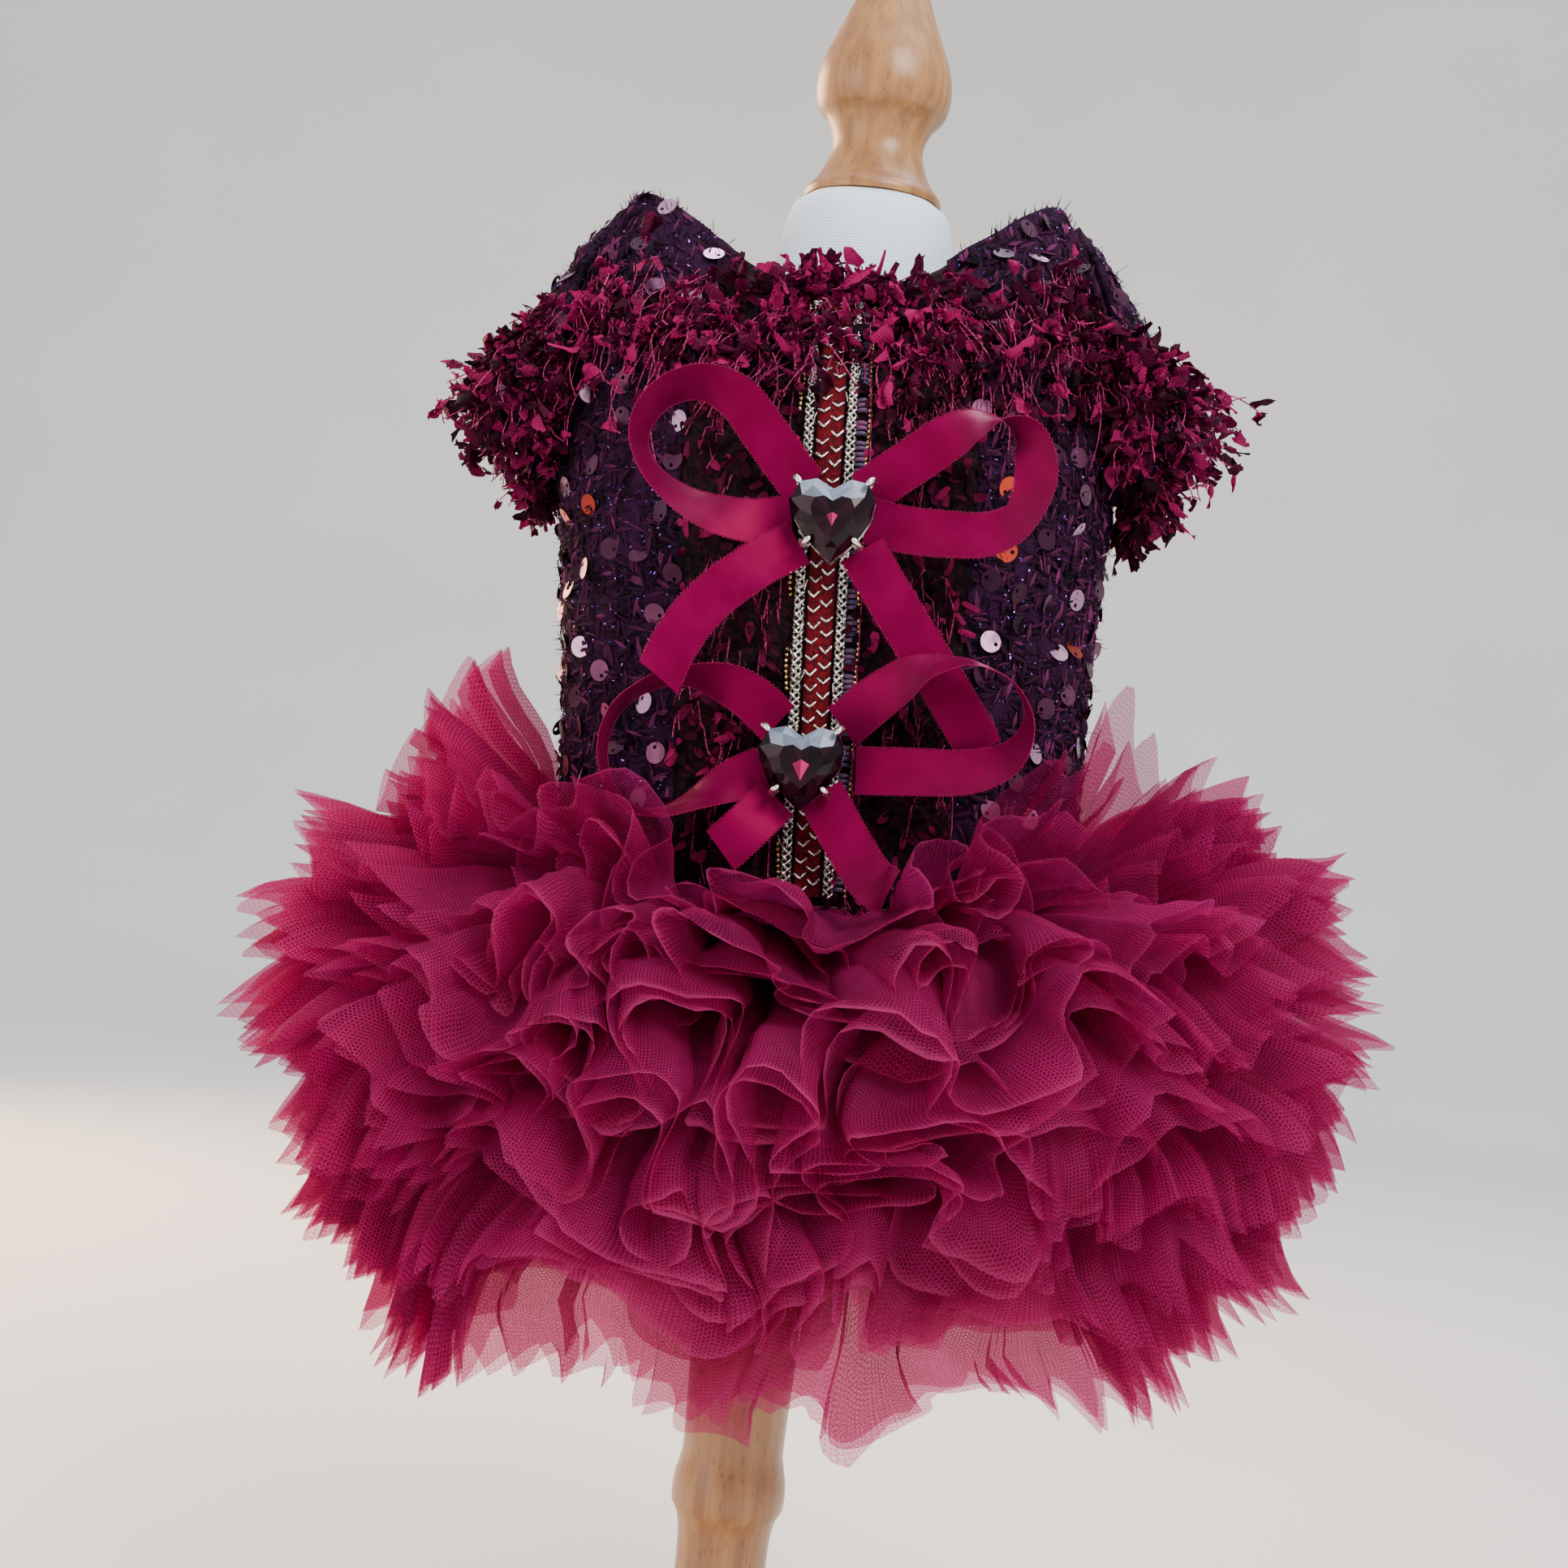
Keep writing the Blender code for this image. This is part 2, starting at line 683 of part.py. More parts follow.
def heart_solid(centre, sections):
    """Heart outlines of (y, width) from the back to the front, joined and capped."""
    bm = bmesh.new()
    rings = []
    for y, width in sections:
        rings.append([bm.verts.new((centre[0] + x, y, centre[1] + z)) for x, z in heart_outline(width)])
    for one, two in zip(rings, rings[1:]):
        for i in range(len(one)):
            j = (i + 1) % len(one)
            bm.faces.new((one[i], one[j], two[j], two[i]))
    bm.faces.new(rings[0])
    bm.faces.new(rings[-1])
    bmesh.ops.recalc_face_normals(bm, faces=bm.faces)
    return bm


def make_stone(label, centre):
    """A faceted heart stone in a claw setting of plate and four claws."""
    plate_front = PLATE_Y - PLATE_THICK
    sections = [(plate_front - FIT - depth, width) for depth, width in STONE_SECTIONS]
    stone = add_object(f"stone_{label}", heart_solid(centre, sections), CRYSTAL, DRESS)
    stone.data.shade_flat()
    plate_sections = ((PLATE_Y, STONE_WIDTH), (plate_front, STONE_WIDTH))
    plate = add_object(f"claws_{label}", heart_solid(centre, plate_sections), SILVER, DRESS)
    for index, (direction, edge) in enumerate(CLAWS):
        claw = claw_shape(f"claw_{label}_{index}", centre, direction, edge)
        join = plate.modifiers.new(f"Claw {index}", "BOOLEAN")
        join.operation = "UNION"
        join.solver = "EXACT"
        join.object = claw


def claw_shape(name, centre, direction, edge):
    """A claw that rises beside the stone and hooks over its edge, as a joining shape."""
    angle = math.radians(direction)
    outward = Vector((math.cos(angle), 0, math.sin(angle)))
    sideways = outward.cross(Vector((0, 1, 0))) * (CLAW_WIDTH / 2)
    middle = Vector((centre[0], 0, centre[1]))
    root, near, hook = edge * 0.6, edge + FIT, edge + FIT - HOOK_REACH
    far = near + CLAW_THICK
    plate_front = PLATE_Y - PLATE_THICK
    back, foot = plate_front + CLAW_SINK, plate_front + 0.1
    lip, top = plate_front - HOOK_HEIGHT, plate_front - HOOK_HEIGHT - CLAW_THICK
    corners = (
        (root, back), (far, back), (far, top), (hook, top),
        (hook, lip), (near, lip), (near, foot), (root, foot),
    )
    profile = [middle + outward * reach + Vector((0, y, 0)) for reach, y in corners]
    bm = bmesh.new()
    ends = [[bm.verts.new(point + sideways * way) for point in profile] for way in (-1, 1)]
    for i in range(len(profile)):
        j = (i + 1) % len(profile)
        bm.faces.new((ends[0][i], ends[0][j], ends[1][j], ends[1][i]))
    bm.faces.new(ends[0])
    bm.faces.new(ends[1])
    bmesh.ops.recalc_face_normals(bm, faces=bm.faces)
    claw = add_object(name, bm, SILVER, DRESS)
    COLLECTION.objects.unlink(claw)
    GUIDES.objects.link(claw)
    claw.hide_render = True
    claw.display_type = "WIRE"
    return claw


def grow_lock(bm, face, middle, tip):
    """Draw a face out to a smaller one across the lock at middle, and on to a point at tip."""
    outward = face.normal.copy()
    centre = face.calc_center_median()
    along = middle - centre
    along = (along - outward * along.dot(outward)).normalized()
    sideways = outward.cross(along)
    narrow = bmesh.ops.extrude_discrete_faces(bm, faces=[face])["faces"][0]
    for vert in narrow.verts:
        offset = vert.co - centre
        depth = math.copysign(LOCK_THICK / 2, -offset.dot(along))
        vert.co = middle + sideways * (offset.dot(sideways) * LOCK_TAPER) + outward * depth
    point = bmesh.ops.extrude_discrete_faces(bm, faces=[narrow])["faces"][0]
    corners = list(point.verts)
    for vert in corners:
        vert.co = tip
    bmesh.ops.remove_doubles(bm, verts=corners, dist=0.001)


def make_fringe(name, places, surface, seat, fall, seed, side=1):
    """A strip along places on a surface, with a pointed lock drawn from each outer face.

    The seat is the strip's inner and outer height over the surface, and fall gives the
    middle and the tip of the lock that starts at a place.
    """
    bm = strip_on_surface(places, surface, FRINGE_STRIP, seat, side)
    chance = random.Random(seed)
    for face in list(bm.faces):
        centre = face.calc_center_median()
        place = min(places, key=lambda spot: (mirrored(surface(*spot), side) - centre).length)
        outward = mirrored(normal_at(surface, *place), side)
        if face.calc_area() > 1.0 and face.normal.dot(outward) > 0.7:
            middle, tip = fall(*place, chance)
            grow_lock(bm, face, mirrored(middle, side), mirrored(tip, side))
    add_object(name, bm, LADDER_YARN, DRESS)


def front_fall(turn, level, chance):
    """Middle and tip of a lock that drops over the panels and stands a little off them."""
    drop = chance.uniform(*FRONT_DROP) * (1.0 if abs(turn) < SIDE_TURNS[0] else 0.8)
    lift = chance.uniform(*FRONT_LIFT)
    middle = body_out(turn, level - 0.5 * drop, FRONT_STAND[0] + lift)
    tip = body_out(turn + chance.uniform(-0.5, 0.5), level - drop, FRONT_STAND[1] + 2 * lift)
    return middle, tip


def sleeve_fall(turn, length, chance):
    """Middle and tip of a lock that hangs off the sleeve's front or stands off its cuff."""
    outward = normal_at(sleeve_point, turn, min(length, 0.95))
    along = (sleeve_point(turn, 1) - sleeve_point(turn, 0.7)).normalized()
    root = sleeve_point(turn, length) + outward * SLEEVE_SEAT[1]
    if length < 0.9:
        reach = chance.uniform(*SLEEVE_LOCK)
        way = (outward * 0.45 + Vector((0.25, -0.1, -1.0))).normalized()
    else:
        below = 0.5 - 0.5 * math.cos(math.radians(turn))
        reach = chance.uniform(*CUFF_LOCK) - 6.0 * below
        way = (along + outward * chance.uniform(0.25, 0.6)).normalized()
    droop = Vector((0, 0, -0.18 * reach))
    return root + way * (0.5 * reach), root + way * reach + droop


def make_fringes():
    """The yarn fringes over the front panels and round both sleeves."""
    front = []
    for turn in steps_between(-63.0, 63.0, FRONT_LOCKS):
        level, = smooth_between(FRINGE_LINE, abs(turn))
        front.append((turn, level))
    make_fringe("fringe_front", front, body_point, FRONT_SEAT, front_fall, seed=5)
    (first_turn, first_length), (last_turn, last_length) = SLEEVE_FRINGE
    turns = steps_between(first_turn, last_turn, SLEEVE_FRONT_LOCKS)
    lengths = steps_between(first_length, last_length, SLEEVE_FRONT_LOCKS)
    round_cuff = [(turn, CUFF_LENGTH) for turn in steps_between(8.0, -300.0, CUFF_LOCKS)]
    places = [*zip(turns, lengths), *round_cuff]
    make_fringe("fringe_right", places, sleeve_point, SLEEVE_SEAT, sleeve_fall, seed=7)
    make_fringe("fringe_left", places, sleeve_point, SLEEVE_SEAT, sleeve_fall, seed=8, side=-1)


def tier_line(index, turn):
    """A tier's fall at one turn: root, middle and hem as reach past the waist and height."""
    root_z, side_reach, side_z, front_reach, front_z, side_lift, front_lift = TIERS[index]
    to_side = math.sin(math.radians(turn)) ** 2
    reach = front_reach + (side_reach - front_reach) * to_side
    hem_z = front_z + (side_z - front_z) * to_side
    lift = front_lift + (side_lift - front_lift) * to_side
    if index == 0:
        for centre, half_width, rise, pull in FLARES:
            share = math.exp(-(((turn + 180) % 360 - 180 - centre) / half_width) ** 2)
            reach -= pull * share
            hem_z += rise * share
    root, hem = Vector((ROOT_OUT, root_z)), Vector((ROOT_OUT + reach, hem_z))
    along = (hem - root).normalized()
    upward = Vector((-along.y, along.x))
    return root, root.lerp(hem, 0.5) + upward * lift, hem, upward


def distance_to_line(point, line):
    """The distance of a flat point from the two stretches of a tier's fall."""
    root, middle, hem, _ = line
    beyond = hem + (hem - middle) * 0.4
    nearest = math.inf
    for start, end in ((root, middle), (middle, beyond)):
        run = end - start
        share = min(max((point - start).dot(run) / run.length_squared, 0.0), 1.0)
        nearest = min(nearest, (point - start - run * share).length)
    return nearest


def swing_room(index, turn, point):
    """How far a ruffle may swing to each side before its wall nears the next tier's."""
    neighbours = [i for i in (index - 1, index + 1) if 0 <= i < len(TIERS)]
    nearest = min(distance_to_line(point, tier_line(i, turn)) for i in neighbours)
    return (nearest - TULLE_WALL - TIER_GAP) / 2


def make_tier(index, chance):
    """One gathered tier of tulle, its ruffles swinging to both sides of its fall."""
    rows = [[], [], []]
    for wave in range(TIER_WAVES):
        width = chance.uniform(0.72, 0.97)
        longer = chance.uniform(-2.5, 2.5)
        leaning = chance.uniform(-1.6, 1.6)
        for phase, way in WAVE:
            turn = (wave + phase + 0.37 * index) * 360 / TIER_WAVES
            root, middle, hem, upward = tier_line(index, turn)
            hem = hem + (hem - middle).normalized() * longer
            mid_swing = swing_room(index, turn, middle) * width
            hem_swing = swing_room(index, turn, hem) * width
            waist = ellipse_point(turn, WAIST_HALF_WIDTH, WAIST_HALF_DEPTH, 0.0)
            ahead = ellipse_point(turn + 1, WAIST_HALF_WIDTH, WAIST_HALF_DEPTH, 0.0)
            tangent = (ahead - waist).normalized()
            outward = Vector((tangent.y, -tangent.x, 0.0))
            falls = ((root, ROOT_SWING), (middle, mid_swing), (hem, hem_swing))
            for row, (place, swing) in zip(rows, falls):
                flat = place + upward * (swing * way)
                shift = tangent * (leaning * way) if place is hem else Vector()
                row.append(waist + outward * flat.x + Vector((0, 0, flat.y)) + shift)
    wall(f"skirt_tier_{index + 1}", rows, TULLE_WALL, TULLE, DRESS, closed=True, side=0.0)


def make_skirt():
    """The yoke below the waist seam and the seven tiers sewn round it."""
    yoke_rows = []
    for height in (YOKE_BOTTOM_Z, (YOKE_BOTTOM_Z + WAIST_Z) / 2, WAIST_Z - FIT):
        yoke_rows.append([
            ellipse_point(turn, WAIST_HALF_WIDTH - FIT, WAIST_HALF_DEPTH - FIT, height)
            for turn in steps_between(0, 360, YOKE_SIDES)[:-1]
        ])
    wall("skirt_yoke", yoke_rows, TULLE_WALL, TULLE, DRESS, closed=True)
    chance = random.Random(11)
    for index in range(len(TIERS)):
        make_tier(index, chance)


remove_startup_objects()
COLLECTION = new_collection("dog_tutu_dress")
GUIDES = new_collection("joining_shapes")
BEECH = finish_of("beech", (0.58, 0.29, 0.10), 0.35)
JERSEY = finish_of("white_jersey", (0.76, 0.80, 0.86), 0.9)
TWEED_CLOTH = finish_of("plum_tweed", (0.07, 0.02, 0.07), 0.9)
YARN_CLOTH = finish_of("dark_yarn_cloth", (0.03, 0.005, 0.02), 0.9)
LADDER_YARN = finish_of("ladder_yarn", (0.27, 0.012, 0.06), 0.8)
VELVET = finish_of("red_velvet", (0.12, 0.004, 0.012), 0.9)
SILVER = finish_of("silver_chain", (0.80, 0.79, 0.76), 0.25, 1.0)
SATIN = finish_of("satin_ribbon", (0.34, 0.004, 0.10), 0.35)
CRYSTAL = finish_of("plum_crystal", (0.03, 0.006, 0.015), 0.05)
TULLE = finish_of("burgundy_tulle", (0.26, 0.008, 0.06), 0.8)

DRESS = bpy.data.objects.new("dress_on_form", None)
COLLECTION.objects.link(DRESS)
DRESS.location = (LEAN_PIVOT_Z * math.sin(LEAN) * MM, 0.0, LEAN_PIVOT_Z * (1 - math.cos(LEAN)) * MM)
DRESS.rotation_euler = (0.0, -LEAN, 0.0)

make_form()
make_bodice()
make_sleeve("sleeve_right", 1)
make_sleeve("sleeve_left", -1)
make_fringes()
make_trim()
for bow in (UPPER_BOW, LOWER_BOW):
    for name, table in bow.items():
        make_ribbon(name, table)
for label, centre in STONES.items():
    make_stone(label, centre)
make_skirt()
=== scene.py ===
"""How the dog tutu dress on its limbless form looks: tweed, yarn, satin, stones and tulle.

The dress's shapes are worked out as in the part's source: in millimetres, in the dress's
own upright frame, and they are leaned and made metres where a mesh is made. A place on the
bodice is a turn, 0 in front and 90 at the right side, and a level, 0 at the waist, 1 at the
chest and 2 at the top edge. A place on a sleeve is a turn round it and a length down it.
"""
import math

import bpy
import numpy as np
from mathutils import Matrix


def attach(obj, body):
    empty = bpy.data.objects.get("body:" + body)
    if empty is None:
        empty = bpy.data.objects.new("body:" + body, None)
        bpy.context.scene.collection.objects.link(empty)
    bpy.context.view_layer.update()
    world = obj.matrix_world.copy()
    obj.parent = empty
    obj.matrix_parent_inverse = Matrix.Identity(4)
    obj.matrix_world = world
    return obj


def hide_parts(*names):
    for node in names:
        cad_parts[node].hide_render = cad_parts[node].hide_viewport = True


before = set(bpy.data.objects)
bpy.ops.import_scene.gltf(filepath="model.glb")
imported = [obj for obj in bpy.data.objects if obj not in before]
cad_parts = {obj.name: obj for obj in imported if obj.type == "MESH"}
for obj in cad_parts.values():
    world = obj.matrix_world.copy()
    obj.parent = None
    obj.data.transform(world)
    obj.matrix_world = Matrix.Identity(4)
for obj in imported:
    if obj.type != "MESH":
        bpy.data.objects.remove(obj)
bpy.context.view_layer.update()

BODY = "root"
MM = 0.001

# The photograph's camera: the photo's side and the lens's focus in pixels, the sensor's width,
# then where the camera stands, how it is aimed and its roll
PHOTO_SIDE = 1932
PHOTO_FOCUS = 2830.0
SENSOR = 36.0
CAMERA_DISTANCE = 560.0
CAMERA_HEIGHT = 235.0
CAMERA_ASIDE = 5.6
CAMERA_AZIMUTH = math.radians(3.0)
CAMERA_PITCH = math.radians(1.5)
CAMERA_ROLL = math.radians(6.37)

# The seamless sweep in metres: its bend's radius, half width, front, where it bends, height
SWEEP = (0.9, 12.0, -12.0, 1.6, 3.2)
# Lamps: place in metres, size, power and tint
LAMPS = {
    "key": ((0.9, -1.3, 1.5), 0.9, 42.0, "#fffaf4"),
    "fill": ((-1.3, -1.1, 0.5), 1.2, 12.0, "#fff4ee"),
    "rim": ((-0.8, 0.7, 0.55), 0.6, 22.0, "#ffc89a"),
    "sky": ((0.2, 0.3, 1.8), 1.2, 26.0, "#f2f6ff"),
}
LAMP_AIM = (0.0, 0.0, 0.25)

# Driving dimensions of the dress, as in the part's source
LEAN = math.radians(3.4)
LEAN_PIVOT_Z = 302.0
TWEED = 2.0
FIT = 0.3
WAIST_Z = 222.0
CHEST_Z = 316.0
WAIST_HALF_WIDTH = 62.0
WAIST_HALF_DEPTH = 48.5
SQUARENESS = 2.2
PRINCESS_TURN = 28.0
ARMHOLE_TURN = 54.0
UNDERARM_TURN = 90.0
BACK_LAP_TURN = 9.0
LAP_STEP = 3.8
SHOULDER_SWELL = 0.55
CLOSING_SHARE = 0.3
SLEEVE_START = 2.2
SLEEVE_BELLY = (0.5, 2.0, -3.2)
CUFF_X = 78.5
CUFF_Z = 334.5
CUFF_LEAN_X = 4.5
CUFF_HALF_HEIGHT = 13.5
CUFF_HALF_DEPTH = 23.0
BAND_WIDTH = 6.0
CHAIN_OFFSET = 4.7
RIBBON_WIDTH = 10.0
STONE_WIDTH = 18.6
ROOT_OUT = 1.2
YOKE_BOTTOM_Z = 193.0
FOOT_THICK = 14.0
FOOT_RADIUS = 64.0
FORM_BOTTOM = 209.0
NECK_TOP = 393.0
FORM_FIT = 0.8
FORM_RISE = 2.0
NECK_Z = 372.0

# Sections of the body: height, half width, half depth
BODY_SECTIONS = (
    (WAIST_Z, WAIST_HALF_WIDTH, WAIST_HALF_DEPTH), (245.0, 62.4, 49.2), (272.0, 63.2, 50.2),
    (296.0, 64.8, 50.8), (CHEST_Z, 66.6, 50.0),
)

# The bodice's top edge at one quarter: turn in degrees, x, depth from the middle, z
TOP_EDGE = (
    (0.0, 0.0, 28.0, 366.5), (14.0, 10.0, 27.5, 366.5), (24.0, 20.0, 26.0, 370.0),
    (34.0, 31.0, 21.0, 379.0), (43.0, 42.0, 13.5, 388.0), (50.0, 50.0, 5.0, 393.0),
    (54.0, 53.5, 4.0, 390.5), (64.0, 60.5, 16.0, 371.0), (72.0, 64.5, 21.0, 353.0),
    (80.0, 67.0, 17.0, 336.0), (90.0, 68.4, 0.4, 324.5),
)

# The fringe's line over the front panels: turn, level
FRINGE_LINE = ((0.0, 1.90), (28.0, 1.80), (45.0, 1.68), (58.0, 1.80), (66.0, 1.93))

# Turned pieces of the form: radius, height
PROFILES = {
    "foot": (
        (0.0, FOOT_THICK), (24.0, FOOT_THICK), (FOOT_RADIUS - 8.0, FOOT_THICK - 4.0),
        (FOOT_RADIUS - 1.0, FOOT_THICK - 7.5), (FOOT_RADIUS, FOOT_THICK - 10.0),
        (FOOT_RADIUS - 1.5, 0.0), (0.0, 0.0),
    ),
    "pole": (
        (0.0, FORM_BOTTOM - FIT), (12.4, FORM_BOTTOM - FIT), (12.8, 112.0), (12.2, 87.0),
        (13.4, 82.5), (13.5, 75.0), (11.6, 71.5), (11.0, 58.0), (12.4, 34.0), (16.5, 17.5),
        (16.5, FOOT_THICK + FIT), (0.0, FOOT_THICK + FIT),
    ),
    "finial": (
        (0.0, 455.0), (4.6, 454.0), (7.7, 450.5), (8.6, 446.0), (10.4, 441.0), (13.4, 433.5),
        (15.9, 427.0), (16.7, 421.0), (15.8, 416.4), (13.0, 412.8), (11.3, 408.6),
        (11.4, 404.8), (14.0, 398.6), (16.9, 394.8), (16.6, 393.3), (0.0, 393.3),
    ),
}

# Padded body below the waist and above the chest line: height, half width, half depth
FORM_HIPS = ((FORM_BOTTOM, 36.0, 27.0), (212.0, 47.0, 36.0), (217.0, 55.0, 42.5))
FORM_SHOULDERS = (
    (330.0, 56.0, 42.0), (341.0, 44.0, 36.0), (351.0, 33.0, 30.0), (361.0, 25.5, 25.0),
    (372.0, 22.6, 22.6), (385.0, 20.6, 20.6), (391.0, 18.8, 18.8), (NECK_TOP, 16.0, 16.0),
)

# Bows: x, y, z and how far the ribbon's width is turned towards the viewer, in degrees
BOWS = {
    "bow_upper_loop_left": (
        (-5.0, -53.2, 314.5, 0.0), (-14.4, -56.0, 326.0, 10.0), (-20.4, -58.0, 332.8, 25.0),
        (-28.0, -60.0, 335.6, 50.0), (-35.4, -61.5, 333.2, 62.0), (-40.2, -62.5, 327.4, 68.0),
        (-41.0, -62.5, 321.0, 72.0), (-37.4, -62.0, 314.4, 65.0), (-30.6, -60.5, 309.4, 48.0),
        (-22.6, -59.0, 306.6, 28.0), (-14.6, -56.6, 306.0, 12.0), (-7.4, -55.0, 307.2, 0.0),
    ),
    "bow_upper_loop_right": (
        (8.2, -53.2, 313.4, 0.0), (18.6, -56.5, 320.6, 0.0), (25.8, -58.5, 325.6, 8.0),
        (32.0, -60.0, 328.8, 40.0), (38.0, -60.5, 329.6, 80.0), (43.6, -61.5, 326.0, 130.0),
        (45.6, -62.5, 318.0, 150.0), (43.2, -63.0, 309.4, 140.0), (37.0, -62.0, 304.9, 162.0),
        (27.8, -60.0, 304.5, 172.0), (17.6, -56.7, 305.6, 176.0), (9.6, -55.1, 307.4, 180.0),
    ),
    "bow_upper_tail_left": (
        (-5.4, -57.2, 301.6, 0.0), (-15.2, -60.4, 295.2, 0.0), (-24.8, -62.6, 286.6, 4.0),
        (-30.8, -64.2, 277.4, 10.0), (-34.2, -65.4, 268.4, 14.0),
    ),
    "bow_upper_tail_right": (
        (8.6, -57.3, 300.6, 0.0), (17.6, -59.3, 286.6, 0.0), (27.6, -57.6, 272.2, 0.0),
        (37.0, -56.2, 257.8, 0.0),
    ),
    "bow_lower_loop_left": (
        (-8.0, -53.2, 262.0, 0.0), (-13.6, -55.6, 266.8, 14.0), (-19.6, -57.0, 269.8, 34.0),
        (-27.6, -57.6, 271.0, 66.0), (-36.0, -57.6, 269.2, 78.0), (-43.2, -57.8, 263.6, 82.0),
        (-46.0, -58.0, 255.6, 84.0), (-44.6, -58.4, 247.6, 84.0), (-39.4, -58.8, 241.8, 82.0),
        (-32.2, -59.0, 241.0, 76.0), (-24.4, -58.4, 244.4, 58.0), (-17.4, -56.4, 248.4, 24.0),
        (-10.6, -55.0, 251.4, 0.0),
    ),
    "bow_lower_loop_right": (
        (6.2, -53.2, 261.8, 0.0), (12.4, -58.0, 267.2, 8.0), (19.4, -62.0, 272.2, 28.0),
        (26.4, -65.5, 275.2, 62.0), (34.4, -67.5, 275.9, 80.0), (42.2, -68.5, 272.4, 86.0),
        (46.0, -69.0, 265.8, 96.0), (45.0, -68.6, 259.2, 116.0), (40.6, -67.0, 254.8, 140.0),
        (32.8, -64.0, 252.6, 160.0), (21.6, -59.0, 252.4, 174.0), (9.6, -55.1, 252.2, 180.0),
    ),
    "bow_lower_tail_left": (
        (-7.2, -57.4, 245.2, 0.0), (-13.4, -61.2, 238.4, 0.0), (-19.0, -62.6, 232.6, 0.0),
    ),
    "bow_lower_tail_right": (
        (2.2, -57.2, 247.0, 0.0), (10.2, -60.2, 234.0, 0.0), (15.0, -67.0, 228.0, 0.0),
        (18.6, -74.5, 226.4, 0.0),
    ),
}

# Heart stones: centre's x and z, and the half size of the pink facet in the middle
STONES = {"upper": (2.0, 306.6, 1.7), "lower": (-2.0, 252.4, 2.6)}
PLATE_Y = -58.3
PLATE_THICK = 0.9
PLATE_FRONT = PLATE_Y - PLATE_THICK
# Rings of a stone's facets, back to front: depth before its back, width, half step round
STONE_RINGS = (
    (0.0, 10.0, 0), (2.4, STONE_WIDTH, 0), (3.2, STONE_WIDTH, 0), (4.7, 14.6, 1), (6.0, 9.6, 0)
)
STONE_SIDES = 14
# Half of the heart's outline, from its notch to its point, in parts of its width
HEART = (
    (0.0, 0.34), (0.12, 0.43), (0.27, 0.48), (0.41, 0.41), (0.5, 0.25), (0.49, 0.06),
    (0.40, -0.13), (0.25, -0.31), (0.10, -0.45), (0.0, -0.53),
)
# Corners of the pink facet's kite, in parts of its half size
KITE = ((0, 0.5), (0.7, 0.1), (0, -1.3), (-0.7, 0.1))
# Claws round a stone: direction in degrees from +X, and the stone's edge there
CLAWS = ((45.0, 10.9), (135.0, 10.9), (-45.0, 7.4), (-135.0, 7.4))
CLAW_RADIUS = 0.8
# A claw's bend: its place past the stone's edge, and past the plate's front
CLAW_HOOK = ((-1.0, 0.3), (0.9, -0.2), (1.25, -2.0), (1.15, -3.9), (0.3, -5.2), (-1.1, -5.6))
CLAW_STATIONS = 22

# Bodice cloth: degrees between its columns of points, rows, its side seams' half gap in
# degrees, and the height of the front's and the tweed's knots
PANEL_STEP = 1.3
PANEL_ROWS = 96
SEAM = 0.03
YARN_KNOTS = 0.3
TWEED_KNOTS = 0.32
# The bodice's tweed in degrees of turn, round the back from one princess seam to the other
TWEED_TURNS = (PRINCESS_TURN + 1, 360 - PRINCESS_TURN - 1)
# Shares of all places on the tweed that lie on the bodice and on one sleeve
BODY_SHARE = 0.76
SLEEVE_SHARE = 0.12
# Mohair weave: blocks of four yarns round and up the bodice, and round and down a sleeve
BODY_BLOCKS = (74, 36)
SLEEVE_BLOCKS = (28, 9)
BLOCK_YARNS = (-0.37, -0.12, 0.12, 0.37)
# Least and most length and width of slubs, stray fibres and ladder yarn petals, and a
# lurex flake's length and width, which is drawn wider than the real film so that it shows
SLUB_SIZE = ((3.4, 5.4), (0.7, 1.5))
FIBRE_SIZE = ((1.2, 3.6), (0.1, 0.3))
FRONT_PETAL_SIZE = ((2.4, 5.0), (1.2, 2.4))
FRINGE_PETAL_SIZE = ((2.0, 6.0), (1.2, 3.4))
FLAKE_LENGTH = (0.3, 0.7)
FLAKE_WIDTH = 0.3
# How many of each there are over the tweed, and how many petals and threads in front
FIBRES = 8000
EDGE_FIBRES = 900
FLAKES = 10000
FRONT_PETALS = 900
FRONT_TWISTS = 90
# Round sequins: radius, its sewing hole's radius and place, how far apart two lie, the places
# tried for them, how far they tilt, and the shares of lilac, plum and copper
SEQUIN_RADIUS = 2.5
SEQUIN_HOLE = 0.48
SEQUIN_HOLE_X = 1.35
SEQUIN_SIDES = 22
SEQUIN_SPACING = 6.6
SEQUIN_PLACES = 1500
SEQUIN_TILT = 0.30
SEQUIN_SHARES = (0.17, 0.78, 0.05)
# Fringe: points along a thread, a ladder yarn petal's rows and columns of points, and the
# threads of each fringe
FRINGE_STEPS = 15
PETAL = (6, 4)
FRONT_THREADS = 290
LOOSE_THREADS = 70
SLEEVE_THREADS = 150
CUFF_THREADS = 140
# Centre trim: its length, the half width that the front's yarn leaves clear for it, the V
# stitches' pitch and columns, the plaits' pitch and loose plies, the rungs' and beads'
# spacing, and the left beads' rows, their length and pitch
TRIM_LENGTH = 146.0
TRIM_CLEAR = 5.5
STITCH_PITCH = 3.45
STITCH_COLUMN = 1.45
PLAIT_PITCH = 5.4
LOOSE_PLIES = 36
BEAD_PITCH = 1.25
BEAD_ROW = 9
BEAD_ROW_PITCH = 21
# A V stitch: aside, up the band and out from the cloth
STITCH = (
    (-1.25, 1.15, 1.3), (-0.6, 0.5, 1.75), (0.0, 0.0, 1.85), (0.6, 0.65, 1.75), (1.25, 1.35, 1.3)
)
